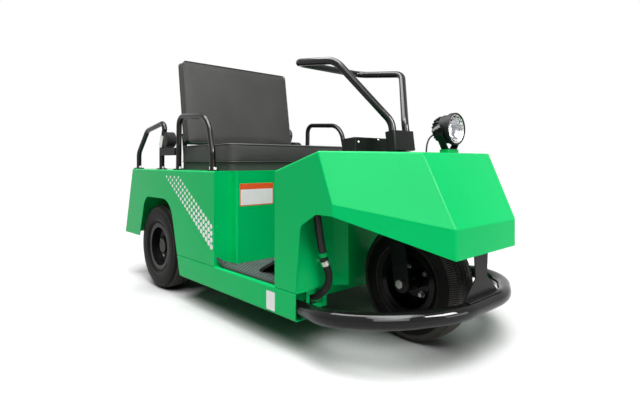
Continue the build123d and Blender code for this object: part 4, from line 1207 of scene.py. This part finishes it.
def dash_screws():
    """Screws along the top edge of the dash's front face."""
    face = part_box("dash_box")[1].x
    places = ((-0.128, 0.719), (-0.018, 0.730), (0.128, 0.719))
    spots = [((face, y, z), (0, pi / 2, 0), full_size) for y, z in places]
    screw = pan_screw(width=0.009, height=0.003)
    scatter("dash_screws", screw, spots, bright_zinc, "chassis", crease=30)


def pedal_ribs():
    """Grip ribs across both pedals."""
    low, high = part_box("pedals")
    pedal_width, slope, face_rise = 0.066, 0.4809, 0.008
    rows, first, step = 7, 0.020, 0.018
    rib_size = (0.006, 0.056, 0.004)
    spots = []
    for y in (low.y + pedal_width / 2, high.y - pedal_width / 2):
        for row in range(rows):
            along = first + step * row
            place = (low.x + along * cos(slope), y, low.z + face_rise + along * sin(slope))
            spots.append((place, (0, -slope, 0), rib_size))
    rib = bmesh.new()
    bmesh.ops.create_cube(rib, size=1.0)
    scatter("pedal_ribs", rib, spots, black_plastic, "chassis")


def tail_lamp_rings():
    """A moulded ring round each tail lamp."""
    low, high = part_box("tail_lamps")
    lens_r = (high.z - low.z) / 2
    inner_r, outer_r = lens_r - 0.002, lens_r + 0.004
    front, back = 0.004, 0.020
    profile = ((front, inner_r), (front, lens_r + 0.001), (0.007, outer_r), (back, outer_r), (back, inner_r))
    for side, out in (("left", 1), ("right", -1)):
        centre = Vector((low.x, out * (high.y - lens_r), (low.z + high.z) / 2))
        place = Matrix.Translation(centre) @ Matrix.Rotation(-pi / 2, 4, "Z")
        turned_piece(f"tail_lamp_ring_{side}", profile, 48, place, black_plastic)


hoop_foot_bolts()
dash_screws()
pedal_ribs()
tail_lamp_rings()


# Belt reels

def latch_plate(side, out, spool):
    """A bright latch plate that leans on a reel's tray."""
    behind, below, lean = 0.038, 0.006, 0.35
    half_long, half_tall, thick, corner = 0.017, 0.030, 0.003, 0.006
    face_y = out * (hoop_y + 0.020)
    ring = rounded_ring(half_long, half_tall, corner, steps=4)
    bm = bmesh.new()
    layers = []
    for depth in (0.0, thick):
        layer = []
        for u, v in ring:
            x = spool.x - behind + u * cos(lean) + v * sin(lean)
            z = spool.z - below - u * sin(lean) + v * cos(lean)
            layer.append(bm.verts.new((x, face_y + out * depth, z)))
        layers.append(layer)
    capped(bm, layers)
    piece(f"belt_latch_{side}", bm, bright_zinc, "chassis", crease=40)


def webbing_loop(side, spool):
    """A loop of webbing over a reel's spool."""
    steps, first_angle, sweep = 24, -60, 300
    inner_r, half_wide = 0.0375, 0.0225
    outer_r = 1.06 * inner_r
    bm = bmesh.new()
    rows = []
    for step in range(steps + 1):
        angle = radians(first_angle + sweep * step / steps)
        corners = ((inner_r, -half_wide), (inner_r, half_wide), (outer_r, half_wide), (outer_r, -half_wide))
        rows.append([bm.verts.new(spool + about_y(radius, y, angle)) for radius, y in corners])
    capped(bm, rows)
    piece(f"belt_webbing_{side}", bm, belt_webbing, "chassis", crease=40)


spool_ahead = 0.100
for side, out, above_deck in (("left", 1, 0.118), ("right", -1, 0.146)):
    spool = Vector((rear_axle_x + spool_ahead, out * hoop_y, deck_z + above_deck))
    latch_plate(side, out, spool)
    webbing_loop(side, spool)
